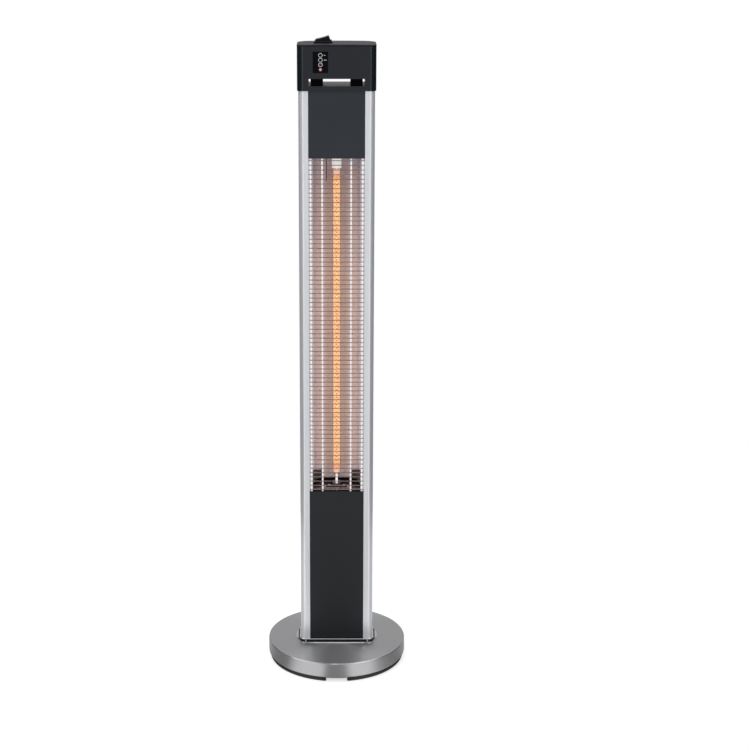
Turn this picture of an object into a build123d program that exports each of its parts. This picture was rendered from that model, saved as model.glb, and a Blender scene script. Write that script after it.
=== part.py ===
from build123d import *
import math
import os

# Infrared patio heater tower, in millimetres. The origin is on the floor under the middle of
# the round base, +Z is up, the heater faces -Y, and +X is to the right seen from the front.

# ------------------------------------------------------------------ shared clearances
slip = 0.3                      # between pieces that are pushed together
running = 0.06                  # around pins and shafts that turn or slide
screw_play = 0.2                # hole radius less shank radius

# ------------------------------------------------------------------ round base
base_diameter = 234.0
foot_height = 8.3               # floor to the lower edge of the steel skirt
skirt_height = 26.3             # lower edge of the skirt to the top face
base_sheet = 1.0
base_edge_radius = 2.2
base_roll_radius = 3.5          # skirt's lower edge, rolled in
base_lip_width = 3.5            # flat lip inside that edge
foot_pad_width = 9.0            # in from the plate's rim
foot_pad_lip = 0.8              # wall outside the plate's rim
foot_pad_edge_radius = 4.0
foot_pad_count = 4
foot_pad_gap_angle = 19.0
base_plate_thickness = 2.0
weight_margin = 0.5             # lip's inside to the weight
base_screw_count = 6
base_screw_inset = 35.0         # plate screws in from the rim
base_screw_radius = 1.8
base_screw_length = 9.0
base_screw_head_radius = 3.6
base_screw_head_height = 2.0
column_bolt_inset = 27.0        # in from the column's sides
column_bolt_depth_inset = 15.0  # in from its front and back
column_bolt_radius = 2.5
column_bolt_head_radius = 4.6
column_bolt_head_height = 3.0
nut_height = 4.0
nut_radius = 4.6

# ------------------------------------------------------------------ tip-over switch
tip_housing_width = 24.0
tip_housing_depth = 15.0
tip_housing_height = 13.0
tip_housing_roof = 1.5
tip_plunger_radius = 3.5
tip_plunger_flange_radius = 5.0
tip_plunger_flange_height = 1.5
tip_plunger_chamfer = 0.4
tip_travel = 4.0
tip_stop_gap = 0.2              # left between flange and plate at full travel
tip_spring_radius = 3.6
tip_spring_wire = 0.35
tip_spring_turns = 4
wire_port_radius = 5.0          # hole for the wires above the switch

# ------------------------------------------------------------------ foot collar and bracket
collar_height = 7.6             # base top to the collar's top edge
collar_wall = 1.8
collar_groove_depth = 0.7
collar_bead = 0.8               # height of the beads above and below the groove
collar_edge_radius = 0.6
flange_overhang = 6.2           # flange past the collar, left and right
flange_lip = 0.9                # flange past the collar, front and back
flange_thickness = 1.2
flange_edge_radius = 0.7
flange_corner_radius = 30.0
bracket_thickness = 2.5

# ------------------------------------------------------------------ column
column_width = 122.0
column_depth = 66.0
column_front_radius = 8.2
column_rear_radius = 18.0
rail_face = 15.7                # width of a rail seen from the front
rail_wall = 1.8
ledge_thickness = 1.5
ledge_width = 5.5
screw_port_radius = 3.4
rail_screw_radius = 1.5
rail_screw_length = 14.0
rail_screw_head_radius = 2.9
rail_screw_head_height = 1.4
lower_panel_height = 266.2      # collar's top edge to the guard
guard_height = 562.0            # the open stretch with the wires
upper_panel_height = 107.2      # guard to the head
panel_recess = 1.0              # panel faces behind the rails' faces
panel_sheet = 1.2
rail_in_head = 3.1              # rails run this far up into the head
top_plate_thickness = 1.6
vent_count = 9
vent_pitch = 9.0
vent_side_margin = 18.0         # vents in from the cover's edges
vent_height = 3.6
vent_margin = 42.0              # vents away from the gland below and the head above
cover_screw_inset = 3.3         # in from the rails' inner faces
cover_screw_rows = 5
cover_screw_margin = 24.0
cover_screw_radius = 1.2
cover_screw_length = 7.5
cover_screw_head_radius = 2.8
cover_screw_head_height = 1.4

# ------------------------------------------------------------------ wire guard
wire_radius = 0.7
wire_pitch = 7.5
upright_radius = 1.3
upright_outer_inset = 3.5       # in from the rails' inner faces
upright_inner_inset = 22.0
guard_end_gap = 0.3

# ------------------------------------------------------------------ reflector and heat shield
reflector_sheet = 0.8
reflector_flange_inset = 1.0    # flange's edge in from the rail's inner face
reflector_mouth_inset = 1.4     # trough's mouth in from the ledge's edge
reflector_side_inset = 4.9      # the trough's bends: in from its mouth, and back from it
reflector_side_back = 20.0
reflector_slope_inset = 15.1
reflector_slope_back = 29.5
reflector_floor_inset = 26.4
reflector_floor_back = 33.5
reflector_start = 13.4          # lower end above the lower panel
reflector_over = 14.0           # upper end behind the upper panel
slit_inset = 16.7               # expansion slit left of the middle
slit_width = 1.4
slit_length = 43.0              # below the upper panel's edge
slit_over = 5.0                 # and behind that panel
shield_sheet = 1.0
shield_inset = 2.7              # in from the rails' inner faces
shield_air_gap = 5.0            # behind the reflector
shield_margin = 10.0            # shield past the end plates
end_plate_sheet = 1.2
end_plate_drop = 2.6            # lower end plate above the lower panel's edge
end_plate_lip = 6.0
end_tab_inset = 21.8            # in from the plate's sides
end_tab_width = 2.4
end_tab_height = 4.5
shield_screw_radius = 1.2
shield_screw_length = 5.0
shield_screw_head_radius = 2.4
shield_screw_head_height = 1.3

# ------------------------------------------------------------------ lamp
lamp_axis_depth = 27.0          # column front to the lamp's axis
lamp_radius = 7.0
lamp_wall = 1.0
lamp_over = 2.0                 # tube's upper end behind the upper panel
lamp_end_radius = 2.5           # tube's rounded lower end
lamp_clear = 13.6               # socket's top to the tube
lamp_pin_radius = 1.9
lamp_cap_wall = 0.6
lamp_cap_visible = 18.7         # white cap seen under the upper panel
lamp_cap_past = 6.0             # and past the upper end plate
filament_radius = 5.7
filament_rod_radius = 0.7
filament_foot_gap = 0.6         # inside of the tube's end to the rope
filament_head_gap = 3.0         # rope to the white cap
filament_segment = 15.0
filament_groove_length = 1.2
filament_groove_depth = 0.6
socket_width = 13.0
socket_depth = 11.0
socket_height = 5.0
socket_notch_floor = 1.5
socket_bracket_width = 34.0
socket_bracket_sheet = 1.2
socket_bracket_margin = 4.5     # bracket past the screws in front
socket_screw_x = 12.4
socket_screw_y = 8.6            # in front of the lamp's axis
socket_screw_radius = 1.4
socket_screw_length = 5.0
socket_screw_head_radius = 2.7
socket_screw_head_height = 1.6

# ------------------------------------------------------------------ control head
head_wall = 1.5                 # skirt around the column
head_shell = 2.5                # walls of the control box
head_web = 3.0                  # under the slot
pillar_width = 18.3             # head's side to the slot
slot_height = 11.5
slot_lip_radius = 1.8
head_box_height = 50.6          # slot's ceiling to the top of the moulded walls
head_floor = 2.5
post_width = 19.2
post_gap = 3.4                  # slot's end to the post beside it
post_inset = 0.8                # post's ends behind the head's faces
post_edge_radius = 0.8
duct_depth = 34.0               # wire ducts through the pillars beside the slot
head_screw_inset = 16.8         # in from the head's front and back
head_screw_radius = 1.7
head_screw_head_radius = 3.2
head_screw_head_height = 2.0
head_screw_past = 3.0           # screw's end below the top plate
parting_gap = 0.4
parting_depth = 0.9
lid_rim_height = 2.0
lid_crown = 0.6
lid_edge_radius = 0.8
lid_boss_inset = 10.8           # in from the head's sides, front and back
lid_boss_radius = 3.6
lid_boss_drop = 9.0             # lid's own bosses below its underside
lid_screw_radius = 1.4
lid_screw_bite = 7.0            # screw's length inside the lid's boss
lid_screw_head_radius = 2.6
lid_screw_head_height = 1.5
head_vent_count = 5
head_vent_pitch = 6.0
head_vent_margin = 40.8         # vents in from the head's sides
head_vent_height = 2.4
head_vent_rise = 12.0

# ------------------------------------------------------------------ rocker switch
switch_inset = 41.5             # in from the head's left side
switch_y = 3.0
switch_seat_rise = 0.2          # the bezel's flat seat above the lid's rim
bezel_length = 31.0
bezel_width = 26.0
bezel_height = 1.8
frame_height = 3.9              # seat to the top of the raised frame
frame_end_wall = 1.2
frame_side_wall = 2.2
frame_taper = 0.9
switch_body_length = 28.0
switch_body_width = 22.6
switch_body_depth = 17.0
switch_cavity_depth = 5.5
rocker_width = 16.4
rocker_side_play = 0.4
rocker_end_play = 0.35
rocker_tilt = 15.0
rocker_top_half = 10.8
rocker_top_height = 7.1         # above the pin
rocker_belly_half = 11.8
rocker_keel_half = 8.0
rocker_keel_drop = 4.6
rocker_dish_radius = 110.0
rocker_edge_radius = 0.6
rocker_pin_height = 1.7         # above the seat
rocker_pin_radius = 1.2
rocker_pin_grip = 1.6           # pin's length in each side of the frame
terminal_count = 3
terminal_pitch = 8.5
terminal_width = 6.3
terminal_sheet = 0.8
terminal_length = 8.0

# ------------------------------------------------------------------ control fascia
fascia_inset = 37.3             # its middle in from the head's left side
fascia_width = 24.2
fascia_height = 33.2
fascia_rise = 9.3               # lower edge above the slot's ceiling
fascia_thickness = 1.5
fascia_proud = 0.3
fascia_play = 0.1
fascia_corner_radius = 1.0
fascia_seat = 2.0               # seat around the window in the head's wall
first_ring_drop = 5.6           # fascia's top edge to the first ring
control_pitch = 7.4
ring_radius = 3.4
ring_inner_radius = 2.5
ring_print = 0.15
mark_offset = 5.2
mark_height = 0.9
short_mark = 2.6
long_mark = 4.6
button_radius = 2.3
button_play = 0.15
button_proud = 0.4
button_travel = 0.6
button_flange_radius = 3.1
button_flange = 0.8
button_rest_gap = 0.1
button_stem_radius = 1.3
button_stem_length = 2.0
lens_flange_radius = 3.2
lens_flange = 0.8
receiver_radius = 2.4
receiver_proud = 0.5
lamp_lens_radius = 2.75
lamp_lens_proud = 0.8

# ------------------------------------------------------------------ board, terminals, wiring
tact_size = 6.0
tact_height = 3.5
tact_plunger_radius = 1.3
tact_plunger_height = 1.2
tact_gap = 0.15                 # stem to plunger at full travel
board_thickness = 1.6
board_side_margin = 7.0         # board past the fascia, left and right
board_end_margin = 1.5
board_post_radius = 3.0
board_post_inset = 4.0
board_screw_radius = 1.1
board_screw_length = 6.0
board_screw_head_radius = 2.2
board_screw_head_height = 1.3
sensor_radius = 2.2
sensor_gap = 0.2
relay_width = 15.0
relay_height = 12.0
relay_depth = 11.0
relay_gap = 2.0
terminal_block_inset = 38.8     # its middle in from the head's right side
terminal_block_width = 34.0
terminal_block_depth = 16.0
terminal_block_height = 12.0
wire_thickness = 2.6
wire_bend = 9.0
duct_wire_inset = 9.6           # in from the head's sides
duct_wire_y = 5.0
gland_rise = 44.0               # above the collar's top edge
gland_flange_radius = 8.5
gland_flange = 2.0
gland_body_radius = 6.0
gland_tail_radius = 5.0
gland_tail_length = 12.0
gland_bore_radius = 3.7
gland_nut_radius = 8.0
gland_nut_height = 4.0
gland_past_nut = 2.0

# ------------------------------------------------------------------ levels worked out
base_radius = base_diameter / 2
base_inner_radius = base_radius - base_sheet
base_top = foot_height + skirt_height
plate_top = foot_height
plate_bottom = plate_top - base_plate_thickness
base_lip_radius = base_radius - base_roll_radius - base_lip_width
plate_radius = base_radius - base_roll_radius - slip
weight_top = base_top - base_sheet - slip
bracket_top = base_top + bracket_thickness
collar_top = base_top + collar_height
guard_bottom = collar_top + lower_panel_height
guard_top = guard_bottom + guard_height
head_bottom = guard_top + upper_panel_height
rail_top = head_bottom + rail_in_head
web_bottom = rail_top + top_plate_thickness
slot_floor = web_bottom + head_web
slot_ceiling = slot_floor + slot_height
box_floor = slot_ceiling + head_floor
body_top = slot_ceiling + head_box_height
lid_bottom = body_top + parting_gap
lid_rim_top = lid_bottom + lid_rim_height
switch_seat = lid_rim_top + switch_seat_rise
gland_level = collar_top + gland_rise

# ------------------------------------------------------------------ planes worked out
column_front = -column_depth / 2
column_half = column_width / 2
rail_inner = column_half - rail_face
panel_half = rail_inner - slip
panel_front = column_front + panel_recess
guard_wire_y = panel_front + wire_radius
upright_y = guard_wire_y + wire_radius + running + upright_radius
ledge_front = upright_y + upright_radius + running
ledge_back = ledge_front + ledge_thickness
lamp_y = column_front + lamp_axis_depth
shield_front = ledge_back + reflector_sheet
shield_back = ledge_back + reflector_floor_back + reflector_sheet + shield_air_gap
shield_half_width = rail_inner - shield_inset
reflector_flange_x = rail_inner - reflector_flange_inset
reflector_mouth_x = rail_inner - ledge_width - reflector_mouth_inset
cover_screw_x = rail_inner - cover_screw_inset
column_bolt_x = column_half - column_bolt_inset
column_bolt_y = column_depth / 2 - column_bolt_depth_inset
base_screw_circle = base_radius - base_screw_inset
screw_port_x = column_half - rail_wall / 2 - screw_port_radius
head_growth = slip + head_wall
head_front = column_front - head_growth
head_half = column_half + head_growth
slot_half = head_half - pillar_width
post_x = slot_half - post_gap - post_width / 2
head_screw_y = -head_front - head_screw_inset
lid_boss_x = head_half - lid_boss_inset
lid_boss_y = -head_front - lid_boss_inset
duct_wire_x = head_half - duct_wire_inset
switch_x = switch_inset - head_half
fascia_x = fascia_inset - head_half
terminal_block_x = head_half - terminal_block_inset
fascia_front = head_front - fascia_proud
fascia_back = fascia_front + fascia_thickness
stem_tip = fascia_back + button_rest_gap + button_flange + button_stem_length
board_front = stem_tip + button_travel + tact_gap + tact_plunger_height + tact_height
board_back = board_front + board_thickness


# ------------------------------------------------------------------ helpers
def block(x0, x1, y0, y1, z0, z1):
    """A box between two corners, in either order."""
    middle = Pos((x0 + x1) / 2, (y0 + y1) / 2, (z0 + z1) / 2)
    return middle * Box(abs(x1 - x0), abs(y1 - y0), abs(z1 - z0))


def upright(x, y, radius, z0, z1):
    """A round bar along Z."""
    return Pos(x, y, (z0 + z1) / 2) * Cylinder(radius, z1 - z0)


def fore_and_aft(x, z, radius, y0, y1):
    """A round bar along Y."""
    return Pos(x, (y0 + y1) / 2, z) * Rot(90, 0, 0) * Cylinder(radius, y1 - y0)


def sideways(y, z, radius, x0, x1):
    """A round bar along X."""
    return Pos((x0 + x1) / 2, y, z) * Rot(0, 90, 0) * Cylinder(radius, x1 - x0)


def outline(growth):
    """The column's outline seen from above, grown outwards by the same amount all round."""
    shape = Rectangle(column_width + 2 * growth, column_depth + 2 * growth)
    shape = fillet(shape.vertices().sort_by(Axis.Y)[:2], column_front_radius + growth)
    return fillet(shape.vertices().sort_by(Axis.Y)[-2:], column_rear_radius + growth)


def prism(shape, z0, z1):
    """A flat outline raised from one level to another."""
    return Pos(0, 0, z0) * extrude(shape, z1 - z0)


def edges_at(solid, level):
    """The edges of a solid that lie flat at one level."""
    near = slip / 10
    return [e for e in solid.edges()
            if abs(e.center().Z - level) < near and all(abs(v.Z - level) < near for v in e.vertices())]


def four_corners(x, y):
    return [(-x, -y), (x, -y), (-x, y), (x, y)]


def screw(radius, length, head_radius, head_height):
    """A pan-head screw: its shank runs down from the origin, its head stands above."""
    return upright(0, 0, radius, -length, 0) + upright(0, 0, head_radius, 0, head_height)


def countersunk(growth):
    """The rail screw, its head flush at the origin, or its hole, which is larger by growth."""
    shank = upright(0, 0, rail_screw_radius + growth, -rail_screw_length, growth)
    head = Pos(0, 0, -rail_screw_head_height / 2) * Cone(
        rail_screw_radius + growth, rail_screw_head_radius + growth, rail_screw_head_height)
    return shank + head


def wire(points):
    """A round wire along straight runs joined by tangent arcs."""
    path = FilletPolyline(*points, radius=wire_bend)
    start = Plane(origin=path @ 0, z_dir=path % 0)
    return sweep(start * Circle(wire_thickness / 2), path=path)


def write(name, *solids):
    """One node's file: a single solid, or a group of separate ones."""
    shape = solids[0] if len(solids) == 1 else Compound(children=list(solids))
    export_step(shape, os.path.join("parts", name + ".step"))


# ------------------------------------------------------------------ round base
def base_screw_places():
    step = 360 / base_screw_count
    angles = [math.radians(step * (i + 0.5)) for i in range(base_screw_count)]
    return [(base_screw_circle * math.cos(a), base_screw_circle * math.sin(a)) for a in angles]


def bolt_holes(z0, z1):
    """Clearance holes for the long column bolts between two levels."""
    radius = column_bolt_radius + screw_play
    return [upright(x, y, radius, z0, z1) for x, y in four_corners(column_bolt_x, column_bolt_y)]


def base_screw_holes(z0, z1):
    return [upright(x, y, base_screw_radius + screw_play, z0, z1) for x, y in base_screw_places()]


def base_cover():
    """Pressed steel cover: a flat top, a straight skirt and a lower edge rolled in to a lip."""
    inner_bottom, inner_top = foot_height + base_sheet, base_top - base_sheet
    outer = upright(0, 0, base_radius, foot_height, base_top)
    outer = fillet(edges_at(outer, base_top), base_edge_radius)
    outer = fillet(edges_at(outer, foot_height), base_roll_radius)
    inner = upright(0, 0, base_inner_radius, inner_bottom, inner_top)
    inner = fillet(edges_at(inner, inner_top), base_edge_radius - base_sheet)
    inner = fillet(edges_at(inner, inner_bottom), base_roll_radius - base_sheet)
    mouth = upright(0, 0, base_lip_radius, foot_height - slip, inner_bottom + slip)
    low, high = inner_top - slip, base_top + slip
    return outer - inner - mouth - upright(0, 0, wire_port_radius, low, high) - bolt_holes(low, high)


def base_weight():
    """Cast iron disc that fills the cover, with a pocket for the tip-over switch."""
    low, high = plate_top - slip, weight_top + slip
    half_x, half_y = tip_housing_width / 2 + slip, tip_housing_depth / 2 + slip
    weight = upright(0, 0, base_lip_radius - weight_margin, plate_top, weight_top)
    weight -= block(-half_x, half_x, -half_y, half_y, low, high)
    return weight - bolt_holes(low, high) - base_screw_holes(low, plate_bottom + base_screw_length + slip)


def base_plate():
    """Flat plate under the skirt's lip that closes the base from below."""
    low, high = plate_bottom - slip, plate_top + slip
    plate = upright(0, 0, plate_radius, plate_bottom, plate_top)
    plate -= upright(0, 0, tip_plunger_radius + running, low, high)
    return plate - bolt_holes(low, high) - base_screw_holes(low, high)


def base_feet():
    """Rubber arcs clipped around the plate's rim, with a gap between one and the next."""
    top = foot_height - slip
    ring = upright(0, 0, plate_radius + slip + foot_pad_lip, 0, top)
    ring = fillet(edges_at(ring, 0), foot_pad_edge_radius)
    ring -= upright(0, 0, plate_radius - foot_pad_width, -slip, foot_height)
    ring -= upright(0, 0, plate_radius + slip, plate_bottom, foot_height)
    reach = 2 * base_radius
    half_gap = math.radians(foot_pad_gap_angle / 2)
    far = reach * math.cos(half_gap), reach * math.sin(half_gap)
    wedge = Polygon((0, 0), (far[0], -far[1]), far, align=None)
    for i in range(foot_pad_count):
        ring -= prism(Rot(0, 0, i * 360 / foot_pad_count) * wedge, -slip, foot_height)
    return ring.solids()


def base_screws():
    """Small screws that hold the plate to the weight."""
    one = Rot(180, 0, 0) * screw(base_screw_radius, base_screw_length, base_screw_head_radius,
                                 base_screw_head_height)
    return [Pos(x, y, plate_bottom) * one for x, y in base_screw_places()]


def column_bolts():
    """Long bolts from under the base into the column's foot bracket."""
    length = bracket_top + nut_height - plate_bottom
    one = Rot(180, 0, 0) * screw(column_bolt_radius, length, column_bolt_head_radius,
                                 column_bolt_head_height)
    return [Pos(x, y, plate_bottom) * one for x, y in four_corners(column_bolt_x, column_bolt_y)]


def column_nuts():
    """Hexagon nuts on the foot bracket."""
    shape = RegularPolygon(nut_radius, 6) - Circle(column_bolt_radius + running)
    nut = prism(shape, bracket_top, bracket_top + nut_height)
    return [Pos(x, y, 0) * nut for x, y in four_corners(column_bolt_x, column_bolt_y)]


# ------------------------------------------------------------------ tip-over switch
tip_roof = plate_top + tip_housing_height - tip_housing_roof
tip_flange_bottom = plate_top + tip_travel + tip_stop_gap
tip_flange_top = tip_flange_bottom + tip_plunger_flange_height


def tip_switch_housing():
    """Box on the base plate, open below, that guides the plunger."""
    half_x, half_y = tip_housing_width / 2, tip_housing_depth / 2
    housing = block(-half_x, half_x, -half_y, half_y, plate_top, plate_top + tip_housing_height)
    return housing - upright(0, 0, tip_plunger_flange_radius + slip, plate_top - slip, tip_roof)


def tip_plunger():
    """Button under the base that the floor holds in."""
    stem = upright(0, 0, tip_plunger_radius, 0, tip_flange_bottom)
    stem = chamfer(edges_at(stem, 0), tip_plunger_chamfer)
    return stem + upright(0, 0, tip_plunger_flange_radius, tip_flange_bottom, tip_flange_top)


def tip_spring():
    """Coil between the plunger's flange and the housing's roof."""
    low = tip_flange_top + tip_spring_wire + running
    high = tip_roof - tip_spring_wire - running
    path = Helix(pitch=(high - low) / tip_spring_turns, height=high - low, radius=tip_spring_radius)
    path = Pos(0, 0, low) * path
    start = Plane(origin=path @ 0, z_dir=path % 0)
    return sweep(start * Circle(tip_spring_wire), path=path)


# ------------------------------------------------------------------ foot collar, column's ends
def foot_collar():
    """Bright collar around the column's foot, on a flange with rounded ends."""
    growth = slip + collar_wall
    width = column_width + 2 * (growth + flange_overhang)
    depth = column_depth + 2 * (growth + flange_lip)
    flange_top = base_top + flange_thickness
    flange = prism(RectangleRounded(width, depth, flange_corner_radius), base_top, flange_top)
    flange = fillet(edges_at(flange, flange_top), flange_edge_radius)
    wall = prism(outline(growth), base_top, collar_top)
    wall = fillet(edges_at(wall, collar_top), collar_edge_radius)
    groove = outline(growth + slip) - outline(growth - collar_groove_depth)
    collar = flange + (wall - prism(groove, flange_top + collar_bead, collar_top - collar_bead))
    return collar - prism(outline(slip), base_top - slip, collar_top + slip)


def foot_bracket():
    """Plate inside the collar that carries the rails."""
    low, high = base_top - slip, bracket_top + slip
    plate = prism(outline(0), base_top, bracket_top)
    plate -= upright(0, 0, wire_port_radius, low, high)
    for side in (-1, 1):
        plate -= Pos(side * screw_port_x, 0, base_top) * Rot(180, 0, 0) * countersunk(screw_play)
    return plate - bolt_holes(low, high)


def top_plate():
    """Plate across the top of the rails, under the head."""
    low, high = rail_top - slip, web_bottom + slip
    plate = prism(outline(0), rail_top, web_bottom)
    for side in (-1, 1):
        plate -= Pos(side * screw_port_x, 0, web_bottom) * countersunk(screw_play)
    for x, y in four_corners(duct_wire_x, duct_wire_y):
        plate -= upright(x, y, wire_thickness / 2 + slip, low, high)
    for x, y in four_corners(post_x, head_screw_y):
        plate -= upright(x, y, head_screw_radius + screw_play, low, high)
    return plate


def rail_screws():
    """Countersunk screws into the rails' screw ports, below and above."""
    made = []
    for side in (-1, 1):
        made.append(Pos(side * screw_port_x, 0, base_top) * Rot(180, 0, 0) * countersunk(0))
        made.append(Pos(side * screw_port_x, 0, web_bottom) * countersunk(0))
    return made


# ------------------------------------------------------------------ column
def cover_screw_levels():
    low = collar_top + cover_screw_margin
    high = head_bottom - cover_screw_margin
    step = (high - low) / (cover_screw_rows - 1)
    return [low + step * i for i in range(cover_screw_rows)]


def rail_section():
    """Right rail seen from above: skin, returns with ledges at front and back, a screw port."""
    reach = 2 * column_width
    skin = outline(0) - outline(-rail_wall)
    skin -= Pos(rail_inner - reach / 2, 0) * Rectangle(reach, reach)
    leg = Pos(rail_inner + rail_wall / 2, 0) * Rectangle(rail_wall, column_depth - rail_wall)
    section = skin + (leg - Rectangle(reach, -2 * ledge_back))
    length = ledge_width + rail_wall
    for y in (ledge_front + ledge_thickness / 2, -ledge_front - ledge_thickness / 2):
        section += Pos(rail_inner - ledge_width + length / 2, y) * Rectangle(length, ledge_thickness)
    section += Pos(screw_port_x, 0) * Circle(screw_port_radius)
    return section - Pos(screw_port_x, 0) * Circle(rail_screw_radius + running)


def rail_right():
    """Extruded aluminium rail, drilled for the rear cover's screws."""
    rail = prism(rail_section(), bracket_top, rail_top)
    for z in cover_screw_levels():
        rail -= fore_and_aft(cover_screw_x, z, cover_screw_radius + screw_play,
                             -ledge_back - slip, -ledge_front + slip)
    return rail


def rail_left():
    return mirror(rail_right(), about=Plane.YZ)


def tray(z0, z1):
    """Folded sheet panel between the rails: a face and four short sides."""
    inside = panel_half - panel_sheet
    outer = block(-panel_half, panel_half, panel_front, ledge_front, z0, z1)
    return outer - block(-inside, inside, panel_front + panel_sheet, ledge_front + slip,
                         z0 + panel_sheet, z1 - panel_sheet)


def lower_panel():
    return tray(bracket_top + slip, guard_bottom)


def upper_panel():
    return tray(guard_top, rail_top - slip)


def rear_cover():
    """Folded sheet cover at the back, with vents near both ends and the gland's hole."""
    cover = mirror(tray(bracket_top + slip, rail_top - slip), about=Plane.XZ)
    low, high = -panel_front - panel_sheet - slip, -panel_front + slip
    top_vent = head_bottom - vent_margin - vent_count * vent_pitch
    vent_half = panel_half - vent_side_margin
    for first in (gland_level + vent_margin, top_vent):
        for i in range(vent_count):
            z = first + i * vent_pitch
            cover -= block(-vent_half, vent_half, low, high, z, z + vent_height)
    for z in cover_screw_levels():
        for side in (-1, 1):
            cover -= fore_and_aft(side * cover_screw_x, z, cover_screw_radius + screw_play, low, high)
    return cover - fore_and_aft(0, gland_level, gland_body_radius + screw_play, low, high)


def cover_screws():
    """Pan-head screws through the rear cover into the rails' ledges."""
    one = Rot(-90, 0, 0) * screw(cover_screw_radius, cover_screw_length, cover_screw_head_radius,
                                 cover_screw_head_height)
    return [Pos(side * cover_screw_x, -panel_front, z) * one
            for z in cover_screw_levels() for side in (-1, 1)]


# ------------------------------------------------------------------ wire guard
def guard_wires():
    """Thin wires across the opening, one above the other."""
    count = int((guard_height - wire_pitch / 2) / wire_pitch) + 1
    first = guard_bottom + (guard_height - (count - 1) * wire_pitch) / 2
    return [sideways(guard_wire_y, first + i * wire_pitch, wire_radius, -panel_half, panel_half)
            for i in range(count)]


def guard_uprights():
    """Thicker wires that carry the thin ones, from panel to panel."""
    low, high = guard_bottom + guard_end_gap, guard_top - guard_end_gap
    outer, inner = rail_inner - upright_outer_inset, rail_inner - upright_inner_inset
    places = (-outer, -inner, inner, outer)
    return [upright(x, upright_y, upright_radius, low, high) for x in places]


# ------------------------------------------------------------------ reflector and heat shield
reflector_bottom = guard_bottom + reflector_start
reflector_top = guard_top + reflector_over
lower_end_top = guard_bottom + end_plate_drop + end_plate_sheet
upper_end_bottom = reflector_top + end_plate_lip
end_half = shield_half_width - shield_sheet - slip


def folded(points, thickness, z0, z1):
    """A sheet folded along a line of bends given for the right side, mirrored to the left."""
    left = [(-x, y) for x, y in reversed(points)]
    return prism(trace(Polyline(*left, *points), line_width=thickness), z0, z1)


def reflector():
    """Polished trough with flat facets, its flanges behind the rails' ledges."""
    y = ledge_back + reflector_sheet / 2
    points = [(reflector_mouth_x - reflector_floor_inset, y + reflector_floor_back),
              (reflector_mouth_x - reflector_slope_inset, y + reflector_slope_back),
              (reflector_mouth_x - reflector_side_inset, y + reflector_side_back),
              (reflector_mouth_x, y),
              (reflector_flange_x, y)]
    trough = folded(points, reflector_sheet, reflector_bottom, reflector_top)
    left, right = -slit_inset - slit_width / 2, -slit_inset + slit_width / 2
    low, high = guard_top - slit_length, guard_top + slit_over
    return trough - block(left, right, ledge_back, shield_back, low, high)


def heat_shield():
    """Steel channel around the reflector, its flanges behind the reflector's."""
    x = shield_half_width - shield_sheet / 2
    y = shield_front + shield_sheet / 2
    points = [(x, shield_back), (x, y), (reflector_flange_x, y)]
    low = guard_bottom + end_plate_drop - shield_margin
    high = upper_end_bottom + end_plate_sheet + shield_margin
    shield = folded(points, shield_sheet, low, high)
    return shield - shield_screw_holes()


def shield_screw_levels():
    middle = (end_plate_sheet + end_plate_lip) / 2
    return lower_end_top - middle - slip, upper_end_bottom + middle + slip


def shield_screw_holes():
    radius = shield_screw_radius + screw_play
    return [sideways(lamp_y, z, radius, side * shield_half_width - shield_screw_length,
                     side * shield_half_width + shield_screw_length)
            for z in shield_screw_levels() for side in (-1, 1)]


def shield_screws():
    """Screws through the shield's sides into the end plates' lips."""
    one = screw(shield_screw_radius, shield_screw_length, shield_screw_head_radius,
                shield_screw_head_height)
    return [Pos(side * shield_half_width, lamp_y, z) * Rot(0, side * 90, 0) * one
            for z in shield_screw_levels() for side in (-1, 1)]


def end_plate(flat, fold):
    """Sheet across the shield with two lips: folded up where fold is 1, down where it is -1."""
    front, back = shield_front + shield_sheet + slip, shield_back - shield_sheet
    inside = end_half - end_plate_sheet
    tip = flat + fold * (end_plate_sheet + end_plate_lip)
    plate = block(-end_half, end_half, front, back, flat, tip)
    return plate - block(-inside, inside, front - slip, back + slip, flat + fold * end_plate_sheet,
                         tip + fold * slip)


def reflector_end_lower():
    """Floor under the lamp, with the socket's screw holes and two small tabs."""
    front = shield_front + shield_sheet + slip
    low, high = lower_end_top - end_plate_sheet, lower_end_top + slip
    plate = end_plate(lower_end_top, -1) - upright(0, lamp_y, wire_thickness / 2 + slip, low - slip, high)
    for side in (-1, 1):
        plate -= upright(side * socket_screw_x, lamp_y - socket_screw_y,
                         socket_screw_radius + screw_play, low - slip, high)
        x = side * (end_half - end_tab_inset)
        plate += block(x - end_tab_width / 2, x + end_tab_width / 2, front, front + end_plate_sheet,
                       low, lower_end_top + end_tab_height)
    return plate - shield_screw_holes()


def reflector_end_upper():
    """Plate over the trough, which the lamp's white cap passes through."""
    plate = end_plate(upper_end_bottom, 1)
    plate -= upright(0, lamp_y, lamp_cap_radius + slip, upper_end_bottom - slip,
                     upper_end_bottom + end_plate_sheet + slip)
    return plate - shield_screw_holes()


# ------------------------------------------------------------------ lamp
socket_base = lower_end_top + socket_bracket_sheet
socket_top = socket_base + socket_height
pin_bottom = socket_base + socket_notch_floor
lamp_bottom = socket_top + lamp_clear
lamp_top = guard_top + lamp_over
lamp_cap_radius = lamp_radius + running + lamp_cap_wall
cap_bottom = guard_top - lamp_cap_visible
cap_top = upper_end_bottom + end_plate_sheet + lamp_cap_past


def lamp_tube():
    """Quartz tube, closed at both ends, the lower one rounded."""
    tube = upright(0, lamp_y, lamp_radius, lamp_bottom, lamp_top)
    tube = fillet(edges_at(tube, lamp_bottom), lamp_end_radius)
    bore = upright(0, lamp_y, lamp_radius - lamp_wall, lamp_bottom + lamp_wall, lamp_top - lamp_wall)
    return tube - fillet(edges_at(bore, lamp_bottom + lamp_wall), lamp_end_radius - lamp_wall)


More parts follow.
